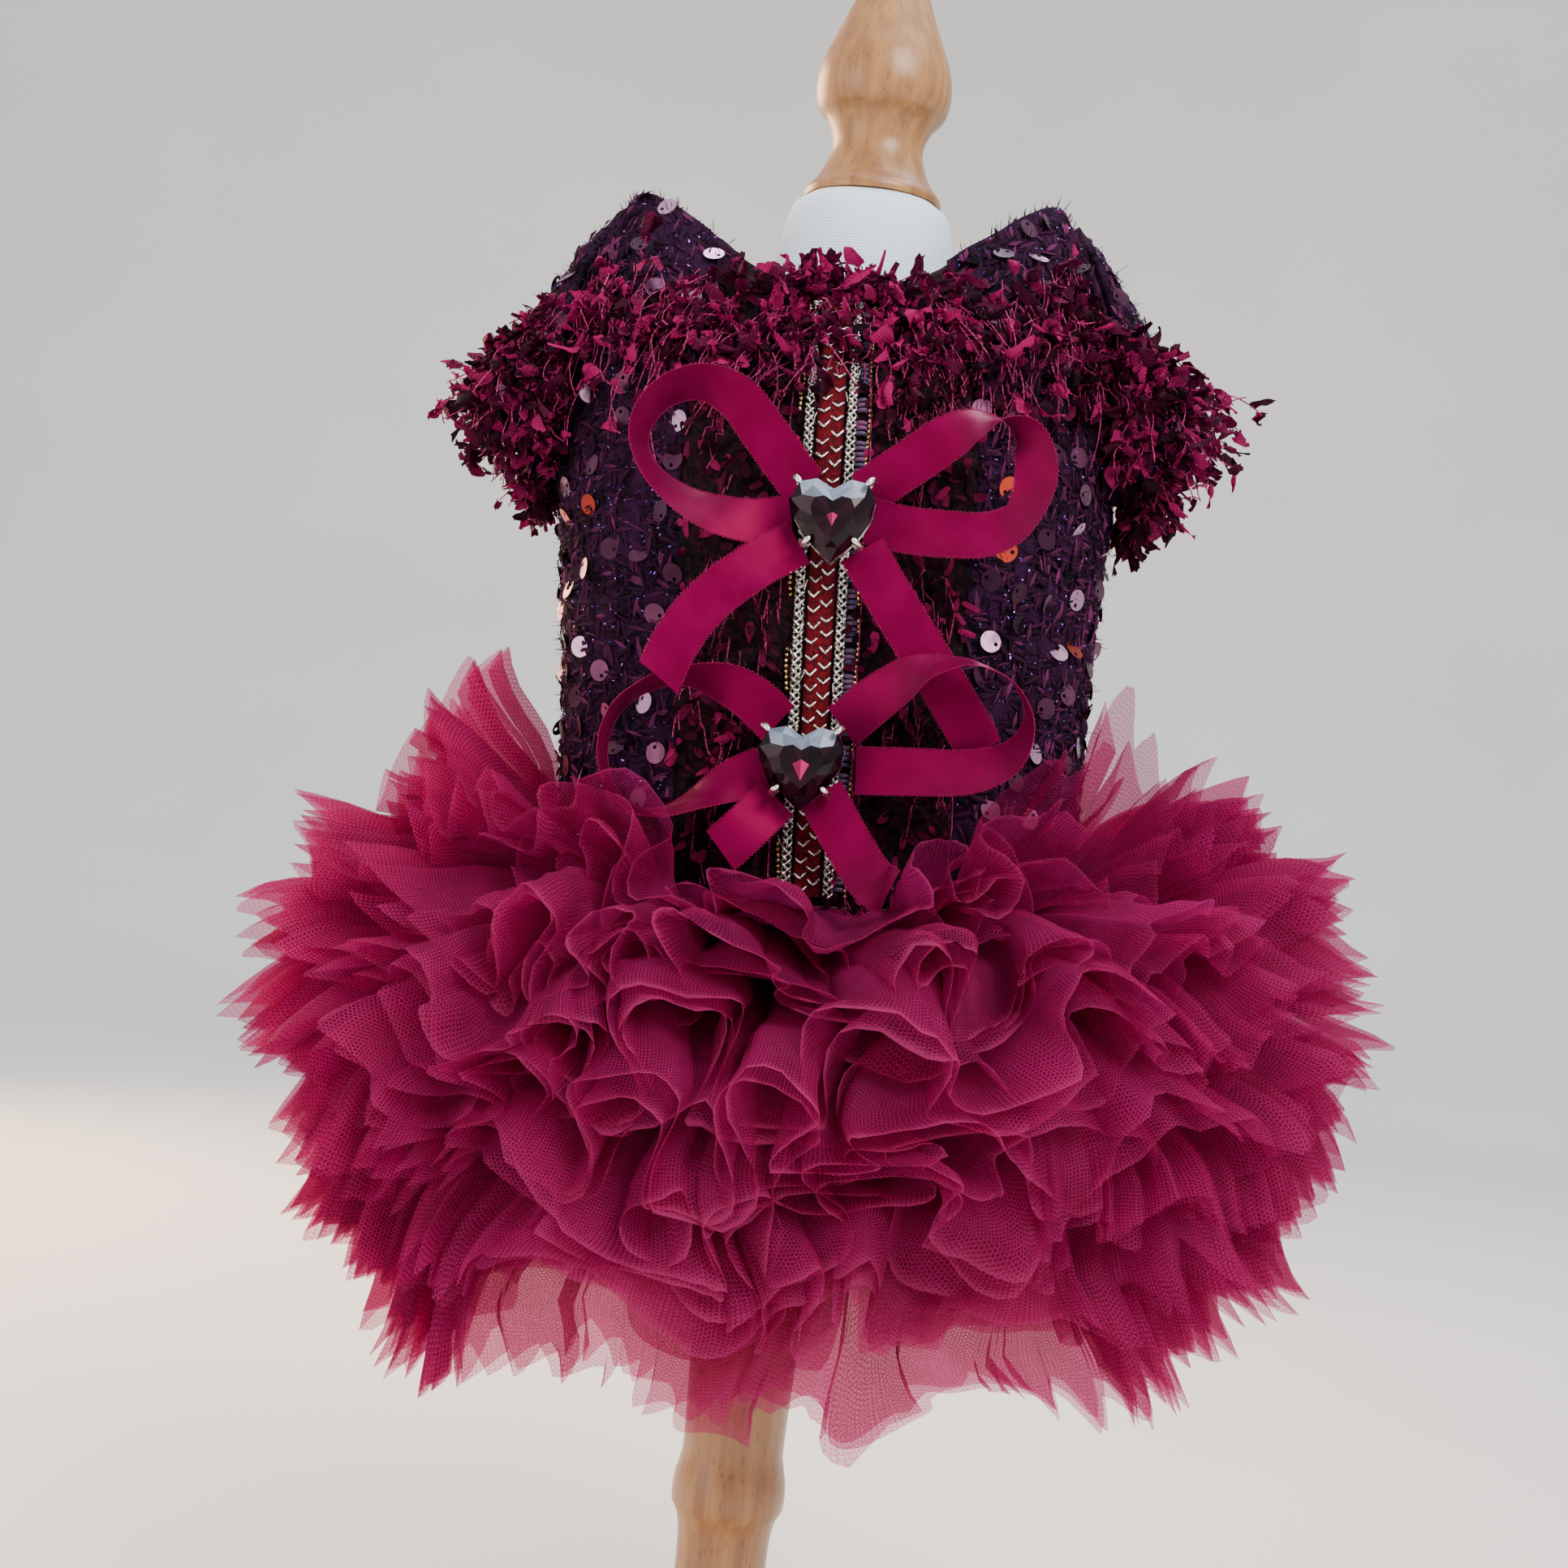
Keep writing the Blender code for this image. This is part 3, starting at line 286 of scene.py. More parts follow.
# Radii of the fringes' threads, the front's twist, the stitches, the plaits' strands and loose
# plies, the rungs, the beads and the ribbons' picots, and a picot's steps along and out; the
# twist and the plies are drawn a little thicker than real, so that they show
FRINGE_THREAD = 0.18
TWIST_THREAD = 0.17
STITCH_THREAD = 0.34
PLAIT_STRAND = 0.36
LOOSE_PLY = 0.16
RUNG_CORD = 0.52
BEAD_RADIUS = 0.55
PICOT_THREAD = 0.11
PICOT_STEP = 0.225
PICOT_OUT = (0.0, 0.32, 0.34, 0.02)

# Tulle tiers, top to bottom: root height, then reach past the waist and hem height at
# the sides, and the same two at the front and back, then the lift half way at the
# sides and at the front
TIERS = (
    (220.4, 43.0, 246.0, 31.0, 216.5, 3.0, 0.5),
    (216.6, 58.0, 228.0, 44.0, 202.5, 5.5, 4.0),
    (212.8, 64.0, 206.5, 51.0, 187.5, 7.0, 6.5),
    (209.0, 63.5, 184.5, 54.0, 172.0, 7.5, 7.5),
    (205.2, 57.0, 163.0, 53.0, 156.0, 7.5, 7.5),
    (201.4, 46.0, 142.5, 49.5, 139.5, 6.5, 6.5),
    (197.6, 31.0, 124.0, 44.0, 122.0, 5.0, 5.0),
)
# Where the top tier stands up at the sides and before the bodice: turn, half width in
# degrees, lift, pull in
RISES = (
    (-90.0, 20.0, 24.0, 19.0), (97.0, 15.0, 2.0, 5.0),
    (-35.0, 13.0, 15.0, 9.0), (43.0, 15.0, 31.0, 17.0),
)
# How much of those rises each layer of the top tier takes, and how much longer each layer is
LAYER_RISE = (1.0, 0.55, 0.2)
LAYER_LENGTH = (1.5, 0.0, -2.5)
LAYER_SPREAD = 3.6
# Folds round a layer, how far past the waist their width is taken, points along a fold, fine
# pleats in each fold, and the rows of points down a layer as shares of its fall
FOLDS = 19
FOLD_REACH = 45.0
FOLD_POINTS = 28
PLEATS = 4
TULLE_ROWS = (0.0, 0.06, 0.15, 0.27, 0.4, 0.53, 0.65, 0.76, 0.86, 0.94, 1.0)
# How far each tier's loose folds swing to each side at the hem in front and at the sides,
# and the fine pleats' swing
FRONT_SWING = (9.0, 11.5, 12.5, 12.5, 11.0, 8.5, 6.0)
SIDE_SWING = 6.0
PLEAT_SWING = 3.8
# How much lower a layer's front hangs half way than a straight fall, so its hem kicks out
FRONT_SAG = (0.0, 3.0, 5.0, 6.5, 6.0, 4.0, 1.0)
# Slow waves that all the tulle drifts along, so its folds bend and cross the tiers' rows:
# each wave's length, its way through the skirt, the way it moves the cloth, and how far
DRIFTS = (
    (62.0, (0.8, 0.2, 0.55), (-0.5, 0.1, 0.85), 4.6),
    (48.0, (-0.45, 0.3, 0.85), (0.9, 0.0, 0.4), 3.6),
    (37.0, (0.75, -0.3, -0.6), (0.35, -0.3, 0.9), 2.8),
    (27.0, (0.35, 0.5, 0.8), (0.8, -0.4, -0.3), 1.5),
    (21.0, (0.9, 0.1, -0.3), (0.1, -0.5, 0.8), 1.1),
)
# Nylon net: from the middle of one hole to the next
NET_CELL = 0.85
# The width of a wave pattern's band at scale 1
WAVE_BAND = math.pi / 10


def unit(vectors):
    return vectors / np.maximum(np.linalg.norm(vectors, axis=-1, keepdims=True), 1e-9)


def together(*parts):
    """Arrays as the last axis of one array, each spread to the shape of all."""
    return np.stack(np.broadcast_arrays(*parts), axis=-1)


def run_along(line):
    """How far along a line of points each of them is."""
    return np.concatenate(([0.0], np.cumsum(np.linalg.norm(np.diff(line, axis=0), axis=-1))))


def angles_round(sides):
    """Angles evenly round a circle, in radians."""
    return np.arange(sides) * 2 * math.pi / sides


def from_behind(turn):
    """Turns counted from -180 at the back."""
    return (turn + 180) % 360 - 180


def bent(start, pull, end, t):
    """Points at shares t of a curve that a point pulls on."""
    return start * (1 - t) ** 2 + pull * (2 * t * (1 - t)) + end * t**2


def smooth_between(table, key):
    """The values of a table at keys in its sorted first column, along a smooth curve."""
    rows, key = np.asarray(table, float), np.asarray(key, float)
    index = np.clip(np.searchsorted(rows[:, 0], key, side="right") - 1, 0, len(rows) - 2)
    before, after = np.maximum(index - 1, 0), np.minimum(index + 2, len(rows) - 1)
    keys = rows[:, :1]
    low, high = keys[index], keys[index + 1]
    span = high - low
    a, b, c, d = (rows[i][..., 1:] for i in (before, index, index + 1, after))
    slope_b = np.where((before < index)[..., None], (c - a) / (high - keys[before]) * span, c - b)
    slope_c = np.where((after > index + 1)[..., None], (d - b) / (keys[after] - low) * span, c - b)
    t = (key[..., None] - low) / span
    return (
        (2 * t**3 - 3 * t**2 + 1) * b
        + (t**3 - 2 * t**2 + t) * slope_b
        + (3 * t**2 - 2 * t**3) * c
        + (t**3 - t**2) * slope_c
    )


def numbered(rows):
    """A table of rows with their numbers as its first column."""
    return [(float(i), *row) for i, row in enumerate(rows)]


def ellipse(turn, half_width, half_depth, height):
    """Points on the body's rounded section."""
    sine, cosine = np.sin(np.radians(turn)), np.cos(np.radians(turn))
    power = 2 / SQUARENESS
    x = half_width * np.sign(sine) * np.abs(sine) ** power
    y = -half_depth * np.sign(cosine) * np.abs(cosine) ** power
    return together(x, y, height)


def trunk(turn, height):
    """Points on the outside of the bodice's lower part."""
    half = smooth_between(BODY_SECTIONS, height)
    return ellipse(turn, half[..., 0], half[..., 1], height)


def edge_at(quarter_turn):
    """The neckline and armhole edge's x, depth and z at turns of one quarter."""
    return np.moveaxis(smooth_between(TOP_EDGE, quarter_turn), -1, 0)


def top_edge(turn):
    """The neckline and armhole edge at turns."""
    turn = from_behind(turn)
    front = np.abs(turn) <= 90
    x, depth, z = edge_at(np.where(front, np.abs(turn), 180 - np.abs(turn)))
    return together(np.copysign(x, turn), np.where(front, -depth, depth), z)


def body(turn, level):
    """Points on the bodice's outside."""
    turn, level = np.broadcast_arrays(np.asarray(turn, float), np.asarray(level, float))
    low = trunk(turn, WAIST_Z + (CHEST_Z - WAIST_Z) * np.minimum(level, 1.0))
    chest, edge = trunk(turn, np.full_like(level, CHEST_Z)), top_edge(turn)
    bulge = chest.copy()
    bulge[..., 2] += SHOULDER_SWELL * (edge[..., 2] - chest[..., 2])
    high = bent(chest, bulge, edge, np.clip(level - 1, 0, 1)[..., None])
    return np.where((level <= 1)[..., None], low, high)


def armhole(turn):
    """The right armhole's edge: 0 is the shoulder, 90 the front, 180 the underarm."""
    turn = from_behind(turn)
    x, depth, z = edge_at(ARMHOLE_TURN + np.abs(turn) / 180 * (UNDERARM_TURN - ARMHOLE_TURN))
    share = np.sin(np.radians(turn))
    depth = depth * np.minimum(np.abs(share) / CLOSING_SHARE, 1.0) * -np.sign(share)
    return together(x, depth, z)


def sleeve(turn, length):
    """Points on the right sleeve's outside: length 0 is the armhole and 1 the cuff's edge."""
    turn, length = np.broadcast_arrays(np.asarray(turn, float), np.asarray(length, float))
    cosine, sine = np.cos(np.radians(turn)), np.sin(np.radians(turn))
    cuff_x, cuff_z = CUFF_X + CUFF_LEAN_X * cosine, CUFF_Z + CUFF_HALF_HEIGHT * cosine
    cuff = together(cuff_x, -CUFF_HALF_DEPTH * sine, cuff_z)
    out, forward, up = SLEEVE_BELLY
    belly = together(out, -forward * sine, up * np.maximum(cosine, 0))
    swell = (length**2 * (1 - length) / (4 / 27))[..., None]
    root = armhole(turn)
    return root + (cuff - root) * length[..., None] + belly * swell


def axes(surface, turn, level):
    """Points of a surface, its directions round and up there, its normal and its stretch."""
    turn, level = np.broadcast_arrays(np.asarray(turn, float), np.asarray(level, float))
    step = 0.01
    low = np.where(level > 1 - step, level - step, level)
    around = surface(turn + 0.5, level) - surface(turn - 0.5, level)
    up = (surface(turn, low + step) - surface(turn, low)) / step
    across = np.cross(around, up)
    stretch = np.linalg.norm(across, axis=-1)
    return surface(turn, level), unit(around), unit(up), unit(across), stretch


def laid(surface, turn, level, out):
    """Points over a surface, moved out from it."""
    point, _, _, normal, _ = axes(surface, turn, level)
    return point + normal * np.asarray(out, float)[..., None]


def scatter(surface, count, turns, levels, chance):
    """Turns and levels of places spread evenly over a stretch of a surface."""
    many = count * 8
    turn, level = chance.uniform(*turns, many), chance.uniform(*levels, many)
    stretch = axes(surface, turn, level)[4]
    keep = np.flatnonzero(chance.uniform(0, stretch.max(), many) < stretch)[:count]
    return turn[keep], level[keep]


def well_apart(points, least):
    """The indices of points that keep a least distance, taken in their order."""
    kept = []
    for index, point in enumerate(points):
        if not kept or np.linalg.norm(points[kept] - point, axis=-1).min() > least:
            kept.append(index)
    return np.array(kept)


def in_metres(points, leans=True):
    """From millimetres, in the dress's own frame where it leans, to the row's frame."""
    x, y, z = np.moveaxis(points, -1, 0)
    if leans:
        cosine, sine, z = math.cos(LEAN), math.sin(LEAN), z - LEAN_PIVOT_Z
        x, z = x * cosine - z * sine, x * sine + z * cosine + LEAN_PIVOT_Z
    return np.stack((x, y, z), axis=-1) * MM


def grid_faces(rows, columns, count=1, wrap=False):
    """Faces of a number of grids of points; wrapped ones close round their columns."""
    row, column = np.meshgrid(np.arange(rows - 1), np.arange(columns - (not wrap)), indexing="ij")
    here, ahead = row * columns + column, row * columns + (column + 1) % columns
    faces = np.stack((here, ahead, ahead + columns, here + columns), axis=-1).reshape(-1, 4)
    return (faces + np.arange(count)[:, None, None] * rows * columns).reshape(-1, 4)


def new_thing(name, data):
    """An object in the scene with its mesh, camera or lamp."""
    thing = bpy.data.objects.new(name, data)
    bpy.context.scene.collection.objects.link(thing)
    return thing


def new_mesh(name, points, faces, materials, leans=True, flat=False):
    """A mesh of points in millimetres, smooth unless it is flat."""
    mesh = bpy.data.meshes.new(name)
    mesh.from_pydata(in_metres(points.reshape(-1, 3), leans), [], faces.tolist())
    for material in materials:
        mesh.materials.append(material)
    if not flat:
        mesh.shade_smooth()
    return mesh


def add_piece(name, points, faces, materials, slot, stands_for=(), kinds=None, **given):
    """A mesh piece that rides on the body, with values at its points for its materials."""
    settings = {key: given.pop(key) for key in ("leans", "flat") if key in given}
    mesh = new_mesh(name, points, faces, materials, **settings)
    if kinds is not None:
        mesh.polygons.foreach_set("material_index", kinds)
    for label, numbers in given.items():
        vector = numbers.shape[-1] == 3 and numbers.ndim > 1
        made = mesh.attributes.new(label, "FLOAT_VECTOR" if vector else "FLOAT", "POINT")
        made.data.foreach_set("vector" if vector else "value", numbers.astype(np.float32).ravel())
    thing = new_thing(name, mesh)
    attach(thing, BODY)
    if stands_for:
        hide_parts(*stands_for)
    return thing


def joined(parts):
    """Several (points, faces) as one."""
    points, faces, start = [], [], 0
    for some_points, some_faces in parts:
        points.append(some_points.reshape(-1, 3))
        faces.append(some_faces + start)
        start += len(points[-1])
    return np.concatenate(points), np.concatenate(faces)


def shell(outer, inner, wrap=False):
    """Points and faces of a wall between two grids of points."""
    rows, columns = outer.shape[:2]
    count = rows * columns
    index = np.arange(count).reshape(rows, columns)
    first, last = index[0], index[-1][::-1]
    skin = grid_faces(rows, columns, wrap=wrap)
    round_edge = np.concatenate((first, index[1:-1, -1], last, index[1:-1, 0][::-1]))
    faces = [skin, skin[:, ::-1] + count]
    for ring in (first, last) if wrap else (round_edge,):
        ahead = np.roll(ring, -1)
        faces.append(np.stack((ahead, ring, ring + count, ahead + count), axis=-1))
    return np.concatenate((outer.reshape(-1, 3), inner.reshape(-1, 3))), np.concatenate(faces)


def tubes(paths, radius, sides, facing=(0.2, -1.0, 0.3)):
    """Points and faces of round threads along paths of shape (count, steps, 3)."""
    run = unit(np.gradient(paths, axis=1))
    first = unit(np.cross(run, np.asarray(facing, float)))
    second = np.cross(run, first)
    angle = angles_round(sides)[:, None]
    ring = first[:, :, None] * np.cos(angle) + second[:, :, None] * np.sin(angle)
    wide = np.broadcast_to(radius, paths.shape[:2])[..., None, None]
    return paths[:, :, None] + ring * wide, grid_faces(paths.shape[1], sides, len(paths), wrap=True)


def leaves(
    base, along, outward, length, width,
    curl=0.0, cup=0.0, rows=5, columns=3, taper=0.0, twist=0.0,
):
    """Points, faces and flat places of small curved patches of yarn or film.

    Each starts at base and runs along; curl bends its end outward as a share of its length,
    cup lifts its middle as a share of its width, taper narrows its ends, and twist turns
    its end by an angle.
    """
    along = unit(along)
    across = unit(np.cross(along, outward))
    outward = np.cross(across, along)
    base, along, across, outward = (v[:, None, None] for v in (base, along, across, outward))
    each = (len(base),)
    length, width, curl, cup, twist = (
        np.broadcast_to(value, each)[:, None, None, None] for value in (length, width, curl, cup, twist)
    )
    s = np.linspace(0, 1, rows)[None, :, None, None]
    c = np.linspace(-1, 1, columns)[None, None, :, None]
    narrow = 1 - taper * np.abs(2 * s - 1) ** 3
    turned = across * np.cos(twist * s) + outward * np.sin(twist * s)
    lift = curl * length * s**2 + cup * width * (1 - c**2) * np.sin(math.pi * np.clip(s, 0.05, 0.95))
    points = base + along * (length * s) + turned * (width / 2 * c * narrow) + outward * lift
    flat = together((length * s)[..., 0], (width / 2 * c)[..., 0], 0.0)
    return points, grid_faces(rows, columns, len(base)), flat


def leaf_piece(name, material, slot, tone, base, along, outward, size, rows, columns, **shape):
    """A piece of many leaves, each with its own tone, length and width."""
    flat = shape.pop("flat", False)
    points, faces, cut = leaves(base, along, outward, *size, rows=rows, columns=columns, **shape)
    shade = np.repeat(tone, rows * columns)
    add_piece(name, points, faces, [material], slot, flat=flat, shade=shade, cut=cut)


def sizes_of(limits, count, chance):
    """Random lengths and widths between their least and most."""
    return [chance.uniform(*ends, count) for ends in limits]


def flat_size(grid):
    """The width and length of a grid of cloth laid flat, and its area, in metres."""
    around = np.linalg.norm(np.diff(grid, axis=1), axis=-1).sum(axis=1)
    down = np.linalg.norm(np.diff(grid, axis=0), axis=-1).sum(axis=0)
    one, two = grid[1:, 1:] - grid[:-1, :-1], grid[1:, :-1] - grid[:-1, 1:]
    area = np.linalg.norm(np.cross(one, two), axis=-1).sum() / 2
    return (around.max() * MM, down.max() * MM), area * MM * MM


def colour(code):
    """A hex colour as linear red, green, blue and alpha."""
    parts = [int(code[i:i + 2], 16) / 255 for i in (1, 3, 5)]
    linear = (part / 12.92 if part <= 0.04045 else ((part + 0.055) / 1.055) ** 2.4 for part in parts)
    return (*linear, 1.0)


def scale_for(size, units=MM, band=1.0):
    """A pattern's scale for spots or bands of a real size in millimetres, to two figures."""
    return float(f"{band / (size * units):.2g}")


def plug(material, target, inputs):
    """Give a node's inputs their values: numbers, hex colours or the sockets that feed them.

    place is where a point is on the piece, and any other name is a value at its points.
    """
    for key, value in inputs.items():
        if isinstance(value, str) and value.startswith("#"):
            value = colour(value)
        elif isinstance(value, str) and value == "place":
            value = add(material, "TexCoord", out="Object")
        elif isinstance(value, str):
            kind = "Vector" if value == "cut" else "Fac"
            value = add(material, "Attribute", out=kind, attribute_name=value)
        if isinstance(value, bpy.types.NodeSocket):
            material.node_tree.links.new(value, target.inputs[key])
        else:
            target.inputs[key].default_value = value


def add(material, kind, inputs=(), stops=(), out=0, **named):
    """Add a node with its inputs, colour stops and settings, and return one output.

    The inputs come in their order or by number, and a capital marks one that is named.
    """
    made = material.node_tree.nodes.new("ShaderNode" + kind)
    given = dict(inputs if isinstance(inputs, dict) else enumerate(inputs))
    for key, value in named.items():
        if key[0].isupper():
            given[key] = value
        else:
            setattr(made, key, value)
    for index, (place, code) in enumerate(stops):
        points = made.color_ramp.elements
        point = points[index] if index < 2 else points.new(place)
        point.position = place
        point.color = colour(code)
    plug(material, made, given)
    return made.outputs[out]


def shader_of(material):
    return material.node_tree.nodes["Principled BSDF"]


def new_material(name, **inputs):
    """A material with its shader's own values set."""
    material = bpy.data.materials.new(name)
    material.use_nodes = True
    plug(material, shader_of(material), {key.replace("_", " "): value for key, value in inputs.items()})
    return material


def finish(material, tint, relief=None, strength=0.0, deep=0.0, **inputs):
    """Give a material its colour, and a surface raised by a relief so many millimetres deep."""
    inputs["Base Color"] = tint
    if relief:
        inputs["Normal"] = add(material, "Bump", Height=relief, Strength=strength, Distance=deep * MM)
    plug(material, shader_of(material), inputs)
    return material


def lit_through(material, tint, share):
    """A material's surface with a share of the light that comes through thin yarn."""
    glow = add(material, "BsdfTranslucent", Color=tint)
    return add(material, "MixShader", (share, shader_of(material).outputs[0], glow))


def seen_as(material, surface):
    """Show a material with another surface than its shader's own."""
    plug(material, material.node_tree.nodes["Material Output"], {"Surface": surface})
    return material


def beech_material():
    """Turned beech, clear satin varnish: warm tan with long soft grain and short dark flecks."""
    wood = new_material("beech_turned_satin_varnish", Coat_Weight=0.25, Coat_Roughness=0.3, Roughness=0.38)
    long_grain = add(wood, "Mapping", Vector="place", Scale=(1.0, 1.0, 0.06))
    grain = add(wood, "TexNoise", Vector=long_grain, Scale=scale_for(3.1), Detail=4.0)
    short_grain = add(wood, "Mapping", Vector="place", Scale=(1.0, 1.0, 0.13))
    flecks = add(wood, "TexVoronoi", Vector=short_grain, Scale=scale_for(1.11))
    tan = add(wood, "ValToRGB", Fac=grain, stops=((0.35, "#8c5c33"), (0.65, "#a87845")))
    dark = add(wood, "ValToRGB", Fac=flecks, stops=((0.08, "#845022"), (0.22, "#ffffff")))
    both = add(wood, "Mix", {0: 0.55, 6: tan, 7: dark}, out=2, data_type="RGBA", blend_type="MULTIPLY")
    return finish(wood, both, grain, strength=0.08, deep=0.4)


def jersey_material():
    """Cotton jersey, fine knit: matte cool white with faint rows of stitches 0.75 mm high."""
    knit = new_material("cotton_jersey_knit", Sheen_Weight=0.2, Roughness=0.92)
    rows = add(
        knit, "TexWave", Vector="place", Scale=scale_for(0.75, band=WAVE_BAND), Distortion=1.5,
        bands_direction="Z",
    )
    soft = add(knit, "TexNoise", Vector="place", Scale=scale_for(25), Detail=3.0)
    white = add(knit, "ValToRGB", Fac=soft, stops=((0.3, "#cce2fb"), (0.7, "#e4f1ff")))
    return finish(knit, white, rows, strength=0.25, deep=0.3)


def tweed_material():
    """Boucle tweed, woven ground: near-black plum with rough knots and violet specks."""
    tweed = new_material("boucle_tweed_woven_ground", Roughness=0.95, Specular_IOR_Level=0.08)
    lying = add(tweed, "Mapping", Vector="place", Scale=(0.35, 0.35, 1.0))
    yarn = add(tweed, "TexNoise", Vector=lying, Scale=scale_for(0.91), Detail=3.0, Distortion=0.8)
    patches = add(tweed, "TexNoise", Vector="place", Scale=scale_for(11.1), Detail=2.0)
    both = add(tweed, "Math", (yarn, patches), operation="ADD")
    plum = add(tweed, "ValToRGB", Fac=both, stops=((0.85, "#08030c"), (1.15, "#2a0f2c")))
    return finish(tweed, plum, yarn, strength=0.9, deep=0.9)


def mohair_material():
    """Mohair slub, brushed yarn: plum fibres that lie side by side, with a painted highlight on their
    raised crests.

    A fibre is drawn 0.4 mm wide, ten times the real one, so that it shows.
    """
    mohair = new_material(
        "mohair_slub_brushed", Sheen_Weight=0.06, Sheen_Tint="#a040a0", Roughness=0.9,
        Specular_IOR_Level=0.1,
    )
    long, wide = scale_for(3.3, units=1), scale_for(0.42, units=1)
    combed = add(mohair, "Mapping", Vector="cut", Scale=(long, wide, 1.0))
    fibre = add(mohair, "TexNoise", Vector=combed, Scale=1.0, Detail=2.0)
    # The fibre pattern that raises the crests also lightens them there, a painted highlight, added to each
    # leaf's tone
    both = add(mohair, "Math", (fibre, "shade"), operation="ADD")
    stops = ((0.3, "#0c040a"), (0.75, "#2e0b27"), (1.3, "#5e2249"))
    plum = add(mohair, "ValToRGB", Fac=both, stops=stops)
    return finish(mohair, plum, fibre, strength=0.8, deep=0.3)


def film_material(name, dark, light, roughness):
    """Metallised film, cut into flakes or pressed sequins: a bright mirror with worn spots."""
    film = new_material(name, Metallic=0.9)
    worn = add(film, "TexNoise", Vector="place", Scale=scale_for(4.5), Detail=1.0)
    tint = add(film, "ValToRGB", Fac="shade", stops=((0.0, dark), (1.0, light)))
    dull = add(film, "MapRange", (worn, 0.35, 0.65, roughness, roughness + 0.2))
    return finish(film, tint, Roughness=dull)


def yarn_cloth_material():
    """Loose boucle, knotted ground: black yarn with dark burgundy threads under the ladder yarn."""
    boucle = new_material("boucle_knotted_black", Roughness=0.95, Specular_IOR_Level=0.2)
    knots = add(boucle, "TexVoronoi", Vector="place", Scale=scale_for(1.61))
    yarn = add(boucle, "TexNoise", Vector="place", Scale=scale_for(2.1), Detail=4.0, Distortion=1.2)
    dark = add(boucle, "ValToRGB", Fac=yarn, stops=((0.42, "#060205"), (0.62, "#2a0515")))
    return finish(boucle, dark, knots, strength=1.0, deep=0.8)


def ladder_material():
    """Ladder yarn, woven petals: burgundy patches with fine pink rungs 0.6 mm apart."""
    petal = new_material("ladder_yarn_woven", Roughness=0.7, Specular_IOR_Level=0.12)
    rungs = add(
        petal, "TexWave", Vector="cut", Scale=scale_for(0.57, units=1, band=WAVE_BAND), Distortion=1.2,
        Detail=1.0, bands_direction="X",
    )
    both = add(petal, "Math", (rungs, 0.22, "shade"), operation="MULTIPLY_ADD")
    wine = add(petal, "ValToRGB", Fac=both, stops=((0.0, "#18010c"), (0.5, "#4c022a"), (0.95, "#a01258")))
    finish(petal, wine, rungs, strength=0.5, deep=0.3)
    return seen_as(petal, lit_through(petal, wine, 0.25))


def twist_material():
    """Lurex twist, plied thread: dusty pink, with a painted highlight on its raised turns."""
    thread = new_material("lurex_twist_plied", Metallic=0.1, Roughness=0.5, Specular_IOR_Level=0.25)
    turns = add(thread, "TexNoise", Vector="place", Scale=scale_for(0.67), Detail=1.0)
    # The turns' pattern both raises the thread and lightens it there: a painted highlight
    pink = add(thread, "ValToRGB", Fac=turns, stops=((0.4, "#5c0830"), (0.62, "#b02c6c")))
    return finish(thread, pink, turns, strength=0.6, deep=0.3)


def velvet_material():
    """Silk velvet, cut pile: deep red that darkens face on and glows along its edges."""
    velvet = new_material(
        "silk_velvet_cut_pile", Sheen_Weight=0.3, Sheen_Tint="#ff4060", Roughness=0.95,
        Specular_IOR_Level=0.2,
    )
    pile = add(velvet, "TexNoise", Vector="place", Scale=scale_for(0.71), Detail=2.0)
    red = add(velvet, "ValToRGB", Fac=pile, stops=((0.35, "#2c0109"), (0.7, "#6c0414")))
    return finish(velvet, red, pile, strength=0.7, deep=0.5)


def metal_thread_material(name, dark, light):
    """Metallised thread, braided: a painted glint on its raised turns and painted shade in the low turns
    between its plies.
    """
    thread = new_material(name, Metallic=0.95, Roughness=0.24)
    turns = add(thread, "TexNoise", Vector="place", Scale=scale_for(0.77), Detail=2.0)
    # The tint follows the relief: painted glints where the turns are raised, painted shade where they are
    # low
    tint = add(thread, "ValToRGB", Fac=turns, stops=((0.4, dark), (0.58, light)))
    return finish(thread, tint, turns, strength=0.4, deep=0.4)


def rung_material():
    """Rayon cord, wrapped: navy and purple rungs with a soft shine."""
    cord = new_material("rayon_cord_wrapped", Sheen_Weight=0.3, Roughness=0.5)
    ply = add(cord, "TexNoise", Vector="place", Scale=scale_for(0.83), Detail=1.0)
    tint = add(cord, "ValToRGB", Fac="shade", stops=((0.0, "#161a44"), (1.0, "#5a2352")))
    return finish(cord, tint, ply, strength=0.5, deep=0.3)


def satin_material():
    """Polyester satin, woven ribbon: cerise with long soft shines across its faint weave.

    Its threads are drawn 0.2 mm apart, twice the real spacing, so that they show.
    """
    satin = new_material(
        "polyester_satin_woven", Roughness=0.36, Anisotropic=0.5, Specular_IOR_Level=0.45,
        Specular_Tint="#ff1478",
    )
    weave = add(
        satin, "TexWave", Vector="cut", Scale=scale_for(0.2, units=1, band=WAVE_BAND), Distortion=0.3,
        bands_direction="X",
    )
    soft = add(satin, "TexNoise", Vector="cut", Scale=scale_for(8.3, units=1), Detail=1.0)
    cerise = add(satin, "ValToRGB", Fac=soft, stops=((0.3, "#5a022c"), (0.7, "#680336")))
    return finish(satin, cerise, weave, strength=0.1, deep=0.2)


def satin_edge_material():
    """Rayon thread, looped edge: small deep pink loops along the ribbon, a little lighter than it."""
    loops = new_material("rayon_thread_looped", Roughness=0.7, Specular_IOR_Level=0.1)
    ply = add(loops, "TexNoise", Vector="place", Scale=scale_for(0.67))
    return finish(loops, add(loops, "ValToRGB", Fac=ply, stops=((0.3, "#6a0230"), (0.7, "#980a50"))))


